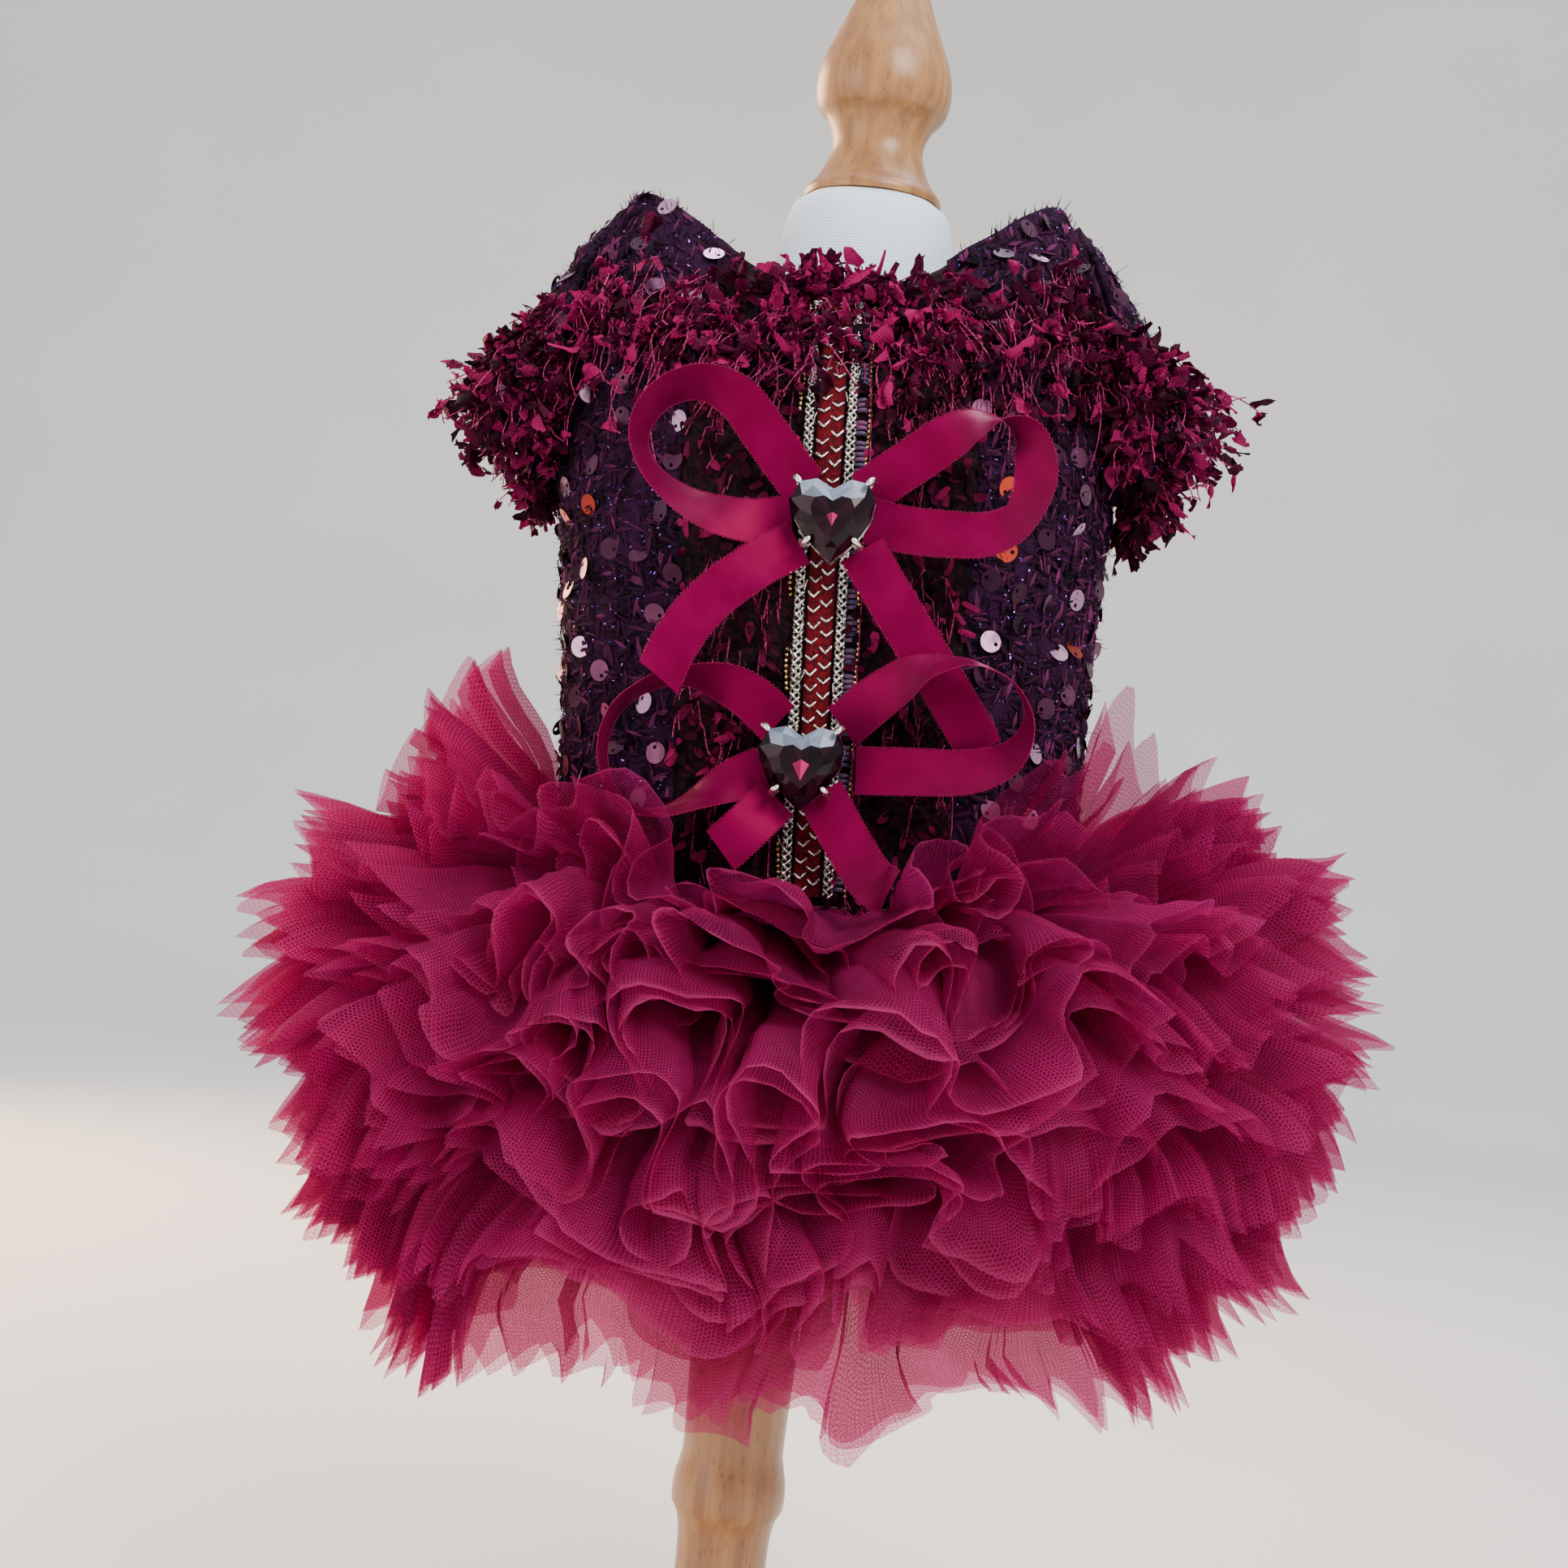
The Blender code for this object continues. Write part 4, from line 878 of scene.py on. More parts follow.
def crystal_material():
    """Crystal glass, faceted and foil backed: dark plum flats, each a clean mirror, with a painted
    grey-blue sky reflection where the shade value is high.
    """
    crystal = new_material("crystal_glass_faceted", Roughness=0.04, IOR=1.6, Specular_IOR_Level=0.15)
    # The last stop is a painted grey-blue reflection of the sky, for the facets that look up
    stops = ((0.0, "#0a0206"), (0.65, "#260a18"), (1.0, "#8494a8"))
    return finish(crystal, add(crystal, "ValToRGB", Fac="shade", stops=stops))


def foil_material():
    """Tinted foil, seen through a facet: a small pink kite, a painted reflection of the foil, with a
    painted highlight on one side and painted shade on the other.
    """
    foil = new_material("tinted_foil_pressed", Roughness=0.12, Metallic=0.3)
    return finish(foil, add(foil, "ValToRGB", Fac="shade", stops=((0.0, "#6a062e"), (1.0, "#c82468"))))


def plated_material():
    """Rhodium plate, polished: bright cool metal with faint wear."""
    plate = new_material("rhodium_plate_polished", Metallic=1.0)
    wear = add(plate, "TexNoise", Vector="place", Scale=scale_for(1.67), Detail=2.0)
    dull = add(plate, "MapRange", (wear, 0.3, 0.7, 0.12, 0.3))
    tint = add(plate, "ValToRGB", Fac=wear, stops=((0.3, "#c9c7c4"), (0.7, "#f1efec")))
    return finish(plate, tint, Roughness=dull)


def net_threads(tulle):
    """The threads of a net of six-sided holes, from three waves across each other."""
    reach = 4 * math.pi / (math.sqrt(3) * NET_CELL)
    net = 0.0
    for way in map(math.radians, (0, 60, 120)):
        across = (reach * math.cos(way), reach * math.sin(way), 0.0)
        along = add(tulle, "VectorMath", ("cut", across), out="Value", operation="DOT_PRODUCT")
        wave = add(tulle, "Math", (along,), operation="COSINE")
        net = add(tulle, "Math", (net, wave), operation="ADD")
    return add(tulle, "MapRange", (net, -0.5, -1.0, 0.0, 1.0))


def tulle_material():
    """Nylon tulle, hexagonal net: burgundy threads, see-through towards a layer's hem, with a painted
    highlight along the hem's edge.

    Higher up a layer, where other layers lie behind it, the holes are painted as the dark
    of the layers below instead.
    """
    tulle = new_material(
        "nylon_tulle_hexagonal_net", Roughness=0.7, Sheen_Weight=0.12, Sheen_Roughness=0.4,
        Sheen_Tint="#e0407c", Specular_IOR_Level=0.25,
    )
    thread = net_threads(tulle)
    soft = add(tulle, "TexNoise", Vector="cut", Scale=scale_for(16.7, units=1), Detail=3.0)
    hole = add(tulle, "ValToRGB", Fac=soft, stops=((0.35, "#7e0a45"), (0.65, "#980f5a")))
    strand = add(tulle, "ValToRGB", Fac=soft, stops=((0.35, "#9e1660"), (0.65, "#ba2078")))
    net = add(tulle, "Mix", {0: thread, 6: hole, 7: strand}, out=2, data_type="RGBA")
    # A painted highlight in light pink along the last rows at a layer's hem
    hem = add(tulle, "MapRange", ("down", 0.97, 0.99, 0.0, 0.6))
    wine = add(tulle, "Mix", {0: hem, 6: net, 7: "#c83e80"}, out=2, data_type="RGBA")
    finish(tulle, wine)
    sheer = add(tulle, "MapRange", ("down", 0.5, 0.95, 1.0, 0.28))
    line = add(tulle, "Math", (thread, 0.62), operation="MULTIPLY")
    edged = add(tulle, "Math", (line, hem), operation="MAXIMUM")
    solid = add(tulle, "Math", (sheer, edged), operation="MAXIMUM")
    clear = add(tulle, "BsdfTransparent", Color="#f6cedd")
    return seen_as(tulle, add(tulle, "MixShader", (solid, clear, lit_through(tulle, wine, 0.5))))


def floor_material():
    """Seamless paper, rolled: pale warm white."""
    paper = new_material("seamless_paper_rolled", Roughness=0.9)
    soft = add(paper, "TexNoise", Vector="place", Scale=scale_for(333))
    return finish(paper, add(paper, "ValToRGB", Fac=soft, stops=((0.3, "#dfdedb"), (0.7, "#e6e5e2"))))


def turned_to(right, up, back, place=(0.0, 0.0, 0.0)):
    """A camera's or lamp's matrix from its axes and its place in millimetres."""
    columns = (right, up, back, np.asarray(place) * MM)
    return Matrix([[float(column[i]) for column in columns] for i in range(3)] + [[0, 0, 0, 1]])


def place_camera():
    """The photograph's camera, found by fitting known sizes of the dress to the photo."""
    sky = np.array((0.0, 0.0, 1.0))
    back = np.array((math.sin(CAMERA_AZIMUTH), -math.cos(CAMERA_AZIMUTH), 0.0))
    right = np.array((math.cos(CAMERA_AZIMUTH), math.sin(CAMERA_AZIMUTH), 0.0))
    ahead = -back * math.cos(CAMERA_PITCH) + sky * math.sin(CAMERA_PITCH)
    up = np.cross(right, ahead)
    place = back * CAMERA_DISTANCE + sky * CAMERA_HEIGHT - right * CAMERA_ASIDE
    rolled_right = right * math.cos(CAMERA_ROLL) + up * math.sin(CAMERA_ROLL)
    rolled_up = up * math.cos(CAMERA_ROLL) - right * math.sin(CAMERA_ROLL)
    data = bpy.data.cameras.new("photo_camera")
    data.sensor_width = SENSOR
    data.lens = SENSOR * PHOTO_FOCUS / PHOTO_SIDE
    data.clip_start = 0.01
    camera = new_thing("photo_camera", data)
    camera.matrix_world = turned_to(rolled_right, rolled_up, -ahead, place)
    bpy.context.scene.camera = camera


def make_studio():
    """A seamless pale sweep, soft panels of light and a pale surround."""
    bend, half, front, back, high = SWEEP
    angles = np.linspace(0, math.pi / 2, 14)
    curve = [(front, 0.0), *((back + bend * math.sin(a), bend - bend * math.cos(a)) for a in angles)]
    curve.append((back + bend, high))
    grid = np.array([[(x, y, z) for x in (-half, half)] for y, z in curve]) / MM
    faces = grid_faces(len(curve), 2)
    mesh = new_mesh("studio_sweep", grid, faces, [floor_material()], leans=False)
    new_thing("studio_sweep", mesh)
    for name, (place, size, power, tint) in LAMPS.items():
        data = bpy.data.lights.new(name, "AREA")
        data.size, data.energy, data.color = size, power, colour(tint)[:3]
        lamp = new_thing(name, data)
        lamp.location = place
        back_way = -unit(np.array(LAMP_AIM) - np.array(place))
        side = unit(np.cross((0.0, 0.0, 1.0), back_way))
        lamp.rotation_euler = turned_to(side, np.cross(back_way, side), back_way).to_euler()
    world = bpy.data.worlds.new("pale_surround")
    world.use_nodes = True
    world.node_tree.nodes["Background"].inputs["Color"].default_value = colour("#eceff4")
    bpy.context.scene.world = world


def turned_piece(part, profile, beech):
    """A lathe-turned piece through a smooth curve of its profile's radii and heights."""
    stations, sides = 64, 72
    run = run_along(np.array(profile))
    rim = [i for i, (radius, _) in enumerate(profile) if radius > 0]
    keyed = [(run[i], *profile[i]) for i in rim]
    fine = smooth_between(keyed, np.linspace(run[rim[0]], run[rim[-1]], stations))
    radius, height = np.concatenate(([profile[0]], fine, [profile[-1]])).T[..., None]
    turn = np.radians(np.arange(0, 360, 360 / sides))
    grid = together(radius * np.sin(turn), -radius * np.cos(turn), height)
    faces = grid_faces(len(grid), sides, wrap=True)[:, ::-1]
    thing = add_piece(f"{part}_turned", grid, faces, [beech], "beech", (f"form_{part}",), leans=False)
    thing.data.set_sharp_from_angle(angle=math.radians(50))


def make_form():
    """The turned foot, pole and finial, and the padded body in white jersey."""
    beech = beech_material()
    for part, profile in PROFILES.items():
        turned_piece(part, profile, beech)
    inset = TWEED + FORM_FIT
    waist = [(z + FORM_RISE, wide - inset, deep - inset) for z, wide, deep in BODY_SECTIONS]
    height = np.linspace(FORM_BOTTOM, NECK_TOP, 80)[:, None]
    half = smooth_between((*FORM_HIPS, *waist, *FORM_SHOULDERS), height)
    upright = np.clip((height - CHEST_Z) / (NECK_Z - CHEST_Z), 0.0, 1.0)
    grid = ellipse(np.arange(0, 360, 4.0), half[..., 0], half[..., 1], height)
    grid[..., 0] -= (height - LEAN_PIVOT_Z) * math.tan(LEAN) * (1 - upright)
    lids = [np.broadcast_to(row.mean(axis=0), row.shape)[None] for row in (grid[0], grid[-1])]
    grid = np.concatenate((lids[0], grid, lids[1]))
    faces = grid_faces(*grid.shape[:2], wrap=True)
    stands_for = ("form_body",)
    cover = add_piece(
        "padded_body_jersey", grid, faces, [jersey_material()], "white_jersey", stands_for, leans=False
    )


def knotted(shape, depth, chance, lying=3):
    """Uneven heights for a grid of boucle cloth, longer round the body than up it."""
    rough = chance.normal(size=shape)
    for shift in range(1, lying + 1):
        rough = rough + 0.6 * (np.roll(rough, shift, axis=1) + np.roll(rough, -shift, axis=1)) / 2
    rough = rough + 0.5 * np.roll(rough, 1, axis=0)
    return np.clip(rough / rough.std(), -1.6, 2.0) * depth


def make_panel(name, turns, material, slot, depth, chance, lap_from):
    """A bodice panel with its true thickness and an uneven, knotted outside."""
    levels = np.linspace(0, 2, PANEL_ROWS)[:, None]
    turn = np.linspace(*turns, int((turns[1] - turns[0]) / PANEL_STEP))[None, :]
    raised = np.clip((turn - lap_from) / LAP_STEP, 0, 1) * (TWEED + FIT)
    shape = (levels.size, turn.size)
    outer = laid(body, turn, levels, raised + knotted(shape, depth, chance))
    inner = laid(body, turn, levels, np.broadcast_to(raised - TWEED, shape))
    thing = add_piece(f"cloth_{name}", *shell(outer, inner), [material], slot, (name,))


def make_sleeve(name, way, tweed, chance):
    """A short flared sleeve with its true thickness, knotted as the panels are."""
    turn = np.arange(0, 360, 3.0)[None, :]
    start = SLEEVE_START / np.linalg.norm(sleeve(turn, 1) - sleeve(turn, 0), axis=-1)
    length = start + (1 - start) * np.linspace(0, 1, 34)[:, None]
    inner = sleeve(turn, length)
    outer = laid(sleeve, turn, length, TWEED + knotted(length.shape, YARN_KNOTS, chance))
    points, faces = shell(outer * (way, 1, 1), inner * (way, 1, 1), wrap=True)
    thing = add_piece(f"cloth_{name}", points, faces[:, ::way], [tweed], "plum_tweed", (name,))


def make_bodice(tweed, yarn_cloth):
    """The five panels of the bodice and the two sleeves."""
    chance = np.random.default_rng(3)
    princess, side, lap = PRINCESS_TURN + SEAM, UNDERARM_TURN - SEAM, 180 - BACK_LAP_TURN
    never = math.inf
    front = (SEAM - PRINCESS_TURN, PRINCESS_TURN - SEAM)
    make_panel("front_centre", front, yarn_cloth, "dark_yarn_cloth", YARN_KNOTS, chance, never)
    for name, turns, lap_from in (
        ("side_front_right", (princess, side), never),
        ("side_front_left", (-side, -princess), never),
        ("back_right", (180 - side, 180 + BACK_LAP_TURN), lap),
        ("back_left", (lap + 2 * LAP_STEP, 180 + side), never),
    ):
        make_panel(name, turns, tweed, "plum_tweed", TWEED_KNOTS, chance, lap_from)
    make_sleeve("sleeve_right", 1, tweed, chance)
    make_sleeve("sleeve_left", -1, tweed, chance)


def woven_places(surface, turns, levels, blocks, chance):
    """Turns and levels of the yarns of a basket weave, four to a block, and which ones lie."""
    each = len(BLOCK_YARNS)
    column, row = (np.repeat(part.ravel(), each) for part in np.meshgrid(*map(np.arange, blocks)))
    lying = (column + row) % 2 == 0
    # A block's yarns lie beside each other, round the piece in one block and up it in the next
    beside = np.tile(BLOCK_YARNS, len(column) // each)
    jitter = chance.normal(0, 0.16, (2, len(column)))
    across = (column + 0.5 + np.where(lying, 0.0, beside) + jitter[0]) / blocks[0]
    high = (row + 0.5 + np.where(lying, beside, 0.0) + jitter[1]) / blocks[1]
    turn = turns[0] + (turns[1] - turns[0]) * across
    level = levels[0] + (levels[1] - levels[0]) * np.clip(high, 0.01, 0.99)
    stretch = axes(surface, turn, level)[4]
    keep = chance.uniform(0, 1, len(turn)) < stretch / np.median(stretch) * 1.3
    return turn[keep], level[keep], lying[keep]


def over_body(turn, level):
    """Points and directions on the bodice, over the lap at its back."""
    point, around, up, normal, _ = axes(body, turn, level)
    lapped = (turn > 180 - BACK_LAP_TURN + LAP_STEP) & (turn < 180 + BACK_LAP_TURN)
    return point + normal * (lapped * (TWEED + FIT))[:, None], around, up, normal


def over_sleeves(turn, length):
    """Points and directions on the outsides of both sleeves."""
    point, around, up, normal, _ = axes(sleeve, turn, length)
    found = (point + normal * TWEED, around, up, normal)
    return [np.concatenate((vector, vector * (-1, 1, 1))) for vector in found]


def all_tweed(on_body, on_sleeves):
    """Points and directions at places on the bodice and on both sleeves."""
    return [np.concatenate(pair) for pair in zip(over_body(*on_body), over_sleeves(*on_sleeves))]


def tweed_places(count, chance):
    """Points and directions spread evenly over the tweed."""
    on_body = scatter(body, int(count * BODY_SHARE), TWEED_TURNS, (0.01, 1.985), chance)
    on_sleeves = scatter(sleeve, int(count * SLEEVE_SHARE), (0, 360), (0.12, 0.97), chance)
    return all_tweed(on_body, on_sleeves)


def make_slubs(mohair, chance):
    """Mohair slubs in woven blocks all over the tweed."""
    *on_body, body_lying = woven_places(body, TWEED_TURNS, (0.0, 2.0), BODY_BLOCKS, chance)
    *on_sleeves, sleeve_lying = woven_places(sleeve, (0.0, 360.0), (0.08, 1.0), SLEEVE_BLOCKS, chance)
    lying = np.concatenate((body_lying, sleeve_lying, sleeve_lying))[:, None]
    point, around, up, normal = all_tweed(on_body, on_sleeves)
    count = len(point)
    along = np.where(lying, around, up) + np.where(lying, up, around) * chance.normal(0, 0.32, (count, 1))
    length, width = sizes_of(SLUB_SIZE, count, chance)
    base = point + normal * chance.uniform(0.1, 0.7, (count, 1)) - unit(along) * (length / 2)[:, None]
    cup = chance.uniform(0.2, 0.6, count)
    patches = np.sin(point[:, 0] * 0.9 + 2 * np.sin(point[:, 2] * 0.5)) * np.sin(point[:, 2] * 0.8)
    leaf_piece(
        "slubs_mohair", mohair, "plum_tweed", 0.22 * patches + chance.uniform(-0.2, 0.42, count),
        base, along, normal, (length, width), 3, 3, curl=-0.02, cup=cup, taper=0.7,
    )


def make_fibres(mohair, chance):
    """Stray fibres that stand off the tweed, some of them along its top edge."""
    point, around, up, normal = tweed_places(FIBRES, chance)
    many = (len(point), 1)
    along = unit(around * chance.normal(0, 1, many) + up * chance.normal(0, 1, many))
    along = along + normal * chance.uniform(0.05, 0.9, many)
    edge_turn = chance.uniform(*TWEED_TURNS, EDGE_FIBRES)
    edge, around, up, edge_normal = over_body(edge_turn, chance.uniform(1.95, 2.0, EDGE_FIBRES))
    edge_way = up + around * chance.normal(0, 0.7, (EDGE_FIBRES, 1))
    edge_way = edge_way + edge_normal * chance.uniform(-0.3, 0.9, (EDGE_FIBRES, 1))
    base = np.concatenate((point, edge))
    along, normal = np.concatenate((along, edge_way)), np.concatenate((normal, edge_normal))
    size = sizes_of(FIBRE_SIZE, len(base), chance)
    curl = chance.normal(0, 0.5, len(base))
    tone = chance.uniform(-0.2, 0.5, len(base))
    leaf_piece(
        "fibres_mohair", mohair, "plum_tweed", tone, base, along, normal, size, 4, 2, curl=curl, taper=0.6
    )


def make_flakes(film, chance):
    """Lurex flakes caught among the slubs at odd tilts."""
    point, _, _, normal = tweed_places(FLAKES, chance)
    count = len(point)
    tilt = unit(normal + chance.normal(0, 0.6, (count, 3)))
    along = np.cross(tilt, chance.normal(0, 1, (count, 3)))
    base = point + normal * chance.uniform(0.2, 0.8, (count, 1))
    size = (chance.uniform(*FLAKE_LENGTH, count), FLAKE_WIDTH)
    tone = chance.uniform(0, 1, count)
    leaf_piece("flakes_lurex", film, "plum_tweed", tone, base, along, tilt, size, 2, 2, flat=True)


def make_tweed_yarns(mohair, film):
    """All that is woven into the tweed and stands off it."""
    chance = np.random.default_rng(21)
    make_slubs(mohair, chance)
    make_fibres(mohair, chance)
    make_flakes(film, chance)


def make_sequins(films):
    """Round sequins of 5 mm, each with its sewing hole near the rim, loose at odd tilts."""
    chance = np.random.default_rng(8)
    point, _, _, normal = tweed_places(SEQUIN_PLACES, chance)
    keep = well_apart(point, SEQUIN_SPACING)
    point, normal = point[keep], normal[keep]
    count, sides = len(keep), SEQUIN_SIDES
    tilt = unit(normal + chance.normal(0, SEQUIN_TILT, (count, 3)))
    first = unit(np.cross(tilt, chance.normal(0, 1, (count, 3))))
    second = np.cross(tilt, first)
    rings = []
    for hole_x, radius in ((SEQUIN_HOLE_X, SEQUIN_HOLE), (0.0, SEQUIN_RADIUS)):
        x = (hole_x + radius * np.cos(angles_round(sides)))[:, None]
        y = (radius * np.sin(angles_round(sides)))[:, None]
        rings.append((point + normal)[:, None] + first[:, None] * x + second[:, None] * y)
    grid = np.stack(rings, axis=1)
    faces = grid_faces(2, sides, count, wrap=True)
    kinds = np.repeat(chance.choice(len(films), count, p=SEQUIN_SHARES), sides)
    shade = np.repeat(chance.uniform(0, 1, count), 2 * sides)
    add_piece("sequins_sewn", grid, faces, films, "plum_tweed", kinds=kinds, flat=True, shade=shade)


def make_front_petals(ladder, chance):
    """Ladder yarn petals over the front centre, clear of the trim."""
    turns = (-PRINCESS_TURN, PRINCESS_TURN)
    turn, level = scatter(body, FRONT_PETALS, turns, (0.0, 1.93), chance)
    point, around, up, normal, _ = axes(body, turn, level)
    clear = np.abs(point[:, 0]) > TRIM_CLEAR
    point, around, up, normal = (vectors[clear] for vectors in (point, around, up, normal))
    count = len(point)
    along = up * chance.normal(-0.6, 0.8, (count, 1)) + around * chance.normal(0, 0.7, (count, 1))
    along = along + normal * chance.uniform(-0.1, 0.5, (count, 1))
    size = sizes_of(FRONT_PETAL_SIZE, count, chance)
    base = point + normal * chance.uniform(0.4, 1.4, (count, 1))
    curl, cup, twist = (chance.normal(0, most, count) for most in (0.25, 0.2, 1.2))
    leaf_piece(
        "petals_ladder_front", ladder, "dark_yarn_cloth", chance.uniform(-0.3, 0.8, count),
        base, along, normal, size, *PETAL, curl=curl, cup=cup, taper=0.4, twist=twist,
    )


def make_front_twists(twist, chance):
    """Zigzag twist threads that wander down the front centre, clear of the trim."""
    paths, steps = [], 15
    for _ in range(FRONT_TWISTS):
        start_turn = chance.uniform(1 - PRINCESS_TURN, PRINCESS_TURN - 1)
        start_level = chance.uniform(0.1, 1.9)
        side = math.copysign(1.0, start_turn)
        turns = start_turn + side * np.cumsum(chance.uniform(-1.3, 1.5, steps))
        turns = side * np.clip(np.abs(turns), 6.5, PRINCESS_TURN - 0.5)
        levels = np.clip(start_level - np.cumsum(chance.uniform(-0.02, 0.045, steps)), 0.0, 1.95)
        levels = levels + 0.016 * np.where(np.arange(steps) % 2, 1, -1)
        paths.append(laid(body, turns, levels, 0.9 + chance.uniform(0, 1.5, steps)))
    threads = tubes(np.array(paths), TWIST_THREAD, 4)
    add_piece("threads_twist_front", *threads, [twist], "dark_yarn_cloth")


def make_ladder_cloth(yarns):
    """All that lies on the front centre's boucle."""
    chance = np.random.default_rng(14)
    make_front_petals(yarns[0], chance)
    make_front_twists(yarns[1], chance)


def curled(paths, size, chance):
    """Threads' paths with loose curls of a given size, growing from their roots."""
    count, steps = paths.shape[:2]
    s = np.linspace(0, 1, steps)[None, :, None]
    turns, start = chance.uniform(0.5, 2.0, (count, 1, 1)), chance.uniform(0, 6.3, (count, 1, 3))
    reach = size * chance.uniform(0.3, 1.0, (count, 1, 1)) * s
    return paths + reach * np.sin(2 * math.pi * turns * s + start)


def make_fringe(place, paths, yarns, chance, petals, deep):
    """Hanging threads of a fringe with ladder yarn petals along them, with painted shade: petals are darker
    the deeper their thread lies.
    """
    count, steps = paths.shape[:2]
    picked = chance.integers(1, steps, (count, petals)).ravel()
    rows = np.repeat(np.arange(count), petals)
    base, along = paths[rows, picked], unit(np.gradient(paths, axis=1))[rows, picked]
    many = len(base)
    facing = unit(np.array((0.0, -1.0, 0.1)) + chance.normal(0, 0.7, (many, 3)))
    along = along + chance.normal(0, 0.5, (many, 3))
    length, width = sizes_of(FRINGE_PETAL_SIZE, many, chance)
    curl, cup, twist = (chance.normal(0, most, many) for most in (0.6, 0.6, 1.6))
    points, faces, flat = leaves(base, along, facing, length, width, curl, cup, *PETAL, 0.4, twist)
    points = points + chance.normal(0, 0.22, points.shape)
    # Painted shade: petals on threads that lie deep are darker, on threads that stand out lighter
    tone = chance.uniform(-0.15, 0.75, many) - 0.5 * np.repeat(deep, petals)
    thread_points, thread_faces = tubes(paths, FRINGE_THREAD, 3)
    plain = np.zeros_like(thread_points).reshape(-1, 3)
    shade = np.concatenate((np.repeat(tone, math.prod(PETAL)), plain[:, 0]))
    kinds = np.repeat((0, 1), (len(faces), len(thread_faces)))
    add_piece(
        f"fringe_yarn_{place}", *joined(((points, faces), (thread_points, thread_faces))), yarns,
        "ladder_yarn", (f"fringe_{place}",), kinds, shade=shade,
        cut=np.concatenate((flat.reshape(-1, 3), plain)),
    )


def fringe_level(turn):
    """The level of the fringe's line over the front panels at turns to both sides."""
    return smooth_between(FRINGE_LINE, np.abs(turn[:, 0]))[:, :1]


def make_front_fringe(yarns):
    """The fringe over the front panels, close threads below and loose curls above."""
    chance = np.random.default_rng(31)
    steps = np.linspace(0, 1, FRINGE_STEPS)[None, :]
    # Close threads that hang from the fringe's line
    each = (FRONT_THREADS, 1)
    farthest = FRINGE_LINE[-1][0]
    turn = np.sort(chance.uniform(-farthest, farthest, FRONT_THREADS))[:, None]
    level = fringe_level(turn) + chance.uniform(-0.12, 0.06, each)
    drop = chance.uniform(0.16, 0.56, each) * np.where(np.abs(turn) < 36, 1.0, 0.85)
    sway = chance.normal(0, 6.0, each) * steps
    stand = chance.uniform(0.0, 1.0, each)
    out = 1.0 + 7.0 * stand * steps * (1 - 0.5 * steps)
    hanging = curled(laid(body, turn + sway, level - drop * steps, out), 3.0, chance)

    # Loose curls that stand up above it
    each = (LOOSE_THREADS, 1, 1)
    turn = 38 * chance.uniform(-1, 1, each[:2]) ** 3 + chance.uniform(-14, 14, each[:2])
    point, _, up, normal, _ = axes(body, turn, fringe_level(turn) + 0.04)
    way = normal * 0.7 + up * chance.uniform(-0.3, 0.9, each)
    way = way + chance.normal(0, 0.5, (LOOSE_THREADS, 1, 3))
    reach = chance.uniform(4, 10, each) * steps[..., None]
    loose = curled(point + normal + unit(way) * reach - np.array((0, 0, 0.03)) * reach**2, 2.0, chance)
    # How deep each thread lies, for painted shade: hanging threads close to the cloth are painted darker,
    # those that stand out and the loose curls above lighter
    deep = np.concatenate((1 - 2 * stand[:, 0], np.full(LOOSE_THREADS, -0.3)))
    make_fringe("front", np.concatenate((hanging, loose)), yarns, chance, 4, deep)


def make_sleeve_fringes(yarns):
    """The fringes over the sleeves' fronts, from a slanting line down, and round their cuffs."""
    chance = np.random.default_rng(33)
    steps = np.linspace(0, 1, FRINGE_STEPS)[None, :, None]
    count = SLEEVE_THREADS + CUFF_THREADS
    each = (count, 1, 1)
    on_cuff = (np.arange(count) >= SLEEVE_THREADS)[:, None, None]
    for side, way in (("right", 1), ("left", -1)):
        line = np.sort(chance.uniform(0, 1, SLEEVE_THREADS))
        front = 62 - 40 * line + chance.uniform(0, 1, SLEEVE_THREADS) ** 1.5 * 80
        turns = np.concatenate((front, chance.uniform(-300, 8, CUFF_THREADS)))
        lengths = np.concatenate((0.14 + 0.78 * line, np.full(CUFF_THREADS, 0.95)))
        point, _, up, normal, _ = axes(sleeve, turns[:, None], lengths[:, None])
        fall = normal * chance.uniform(0.2, 0.6, each) + np.array((0.25, -0.1, -1.0))
        spiky = up + normal * chance.uniform(0.0, 0.7, each)
        direction = unit(np.where(on_cuff, spiky, fall) + chance.normal(0, 0.22, (count, 1, 3)))
        below = 0.5 - 0.5 * np.cos(np.radians(turns))[:, None, None]
        reach = chance.uniform(6, 13, each) + on_cuff * chance.uniform(0, 7, each)
        reach = reach * np.where(on_cuff, 1 - 0.62 * below, 0.85)
        droop = np.array((0.0, 0.0, -0.25)) * reach * steps**2
        paths = point + normal * (TWEED + 0.8) + direction * (reach * steps) + droop
        make_fringe(side, curled(paths, 2.2, chance) * (way, 1, 1), yarns, chance, 3, np.zeros(count))


def trim_turn(x, level):
    """The turns at which the bodice's front is x to the right of its middle."""
    turns = np.linspace(-40, 40, 161)
    rows = body(turns[None, :], level.reshape(-1, 1))[..., 0]
    found = [np.interp(value, row, turns) for value, row in zip(x.ravel(), rows)]
    return np.array(found).reshape(x.shape)


def on_trim(x, mark, out):
    """Points at x aside from the centre line, a way up it in millimetres, and a height over it."""
    levels = np.linspace(0.02, 1.84, 300)
    x, mark, out = np.moveaxis(together(x, mark, out), -1, 0)
    level = np.interp(mark, run_along(body(np.zeros(300), levels)), levels)
    return laid(body, trim_turn(x, level), level, out)


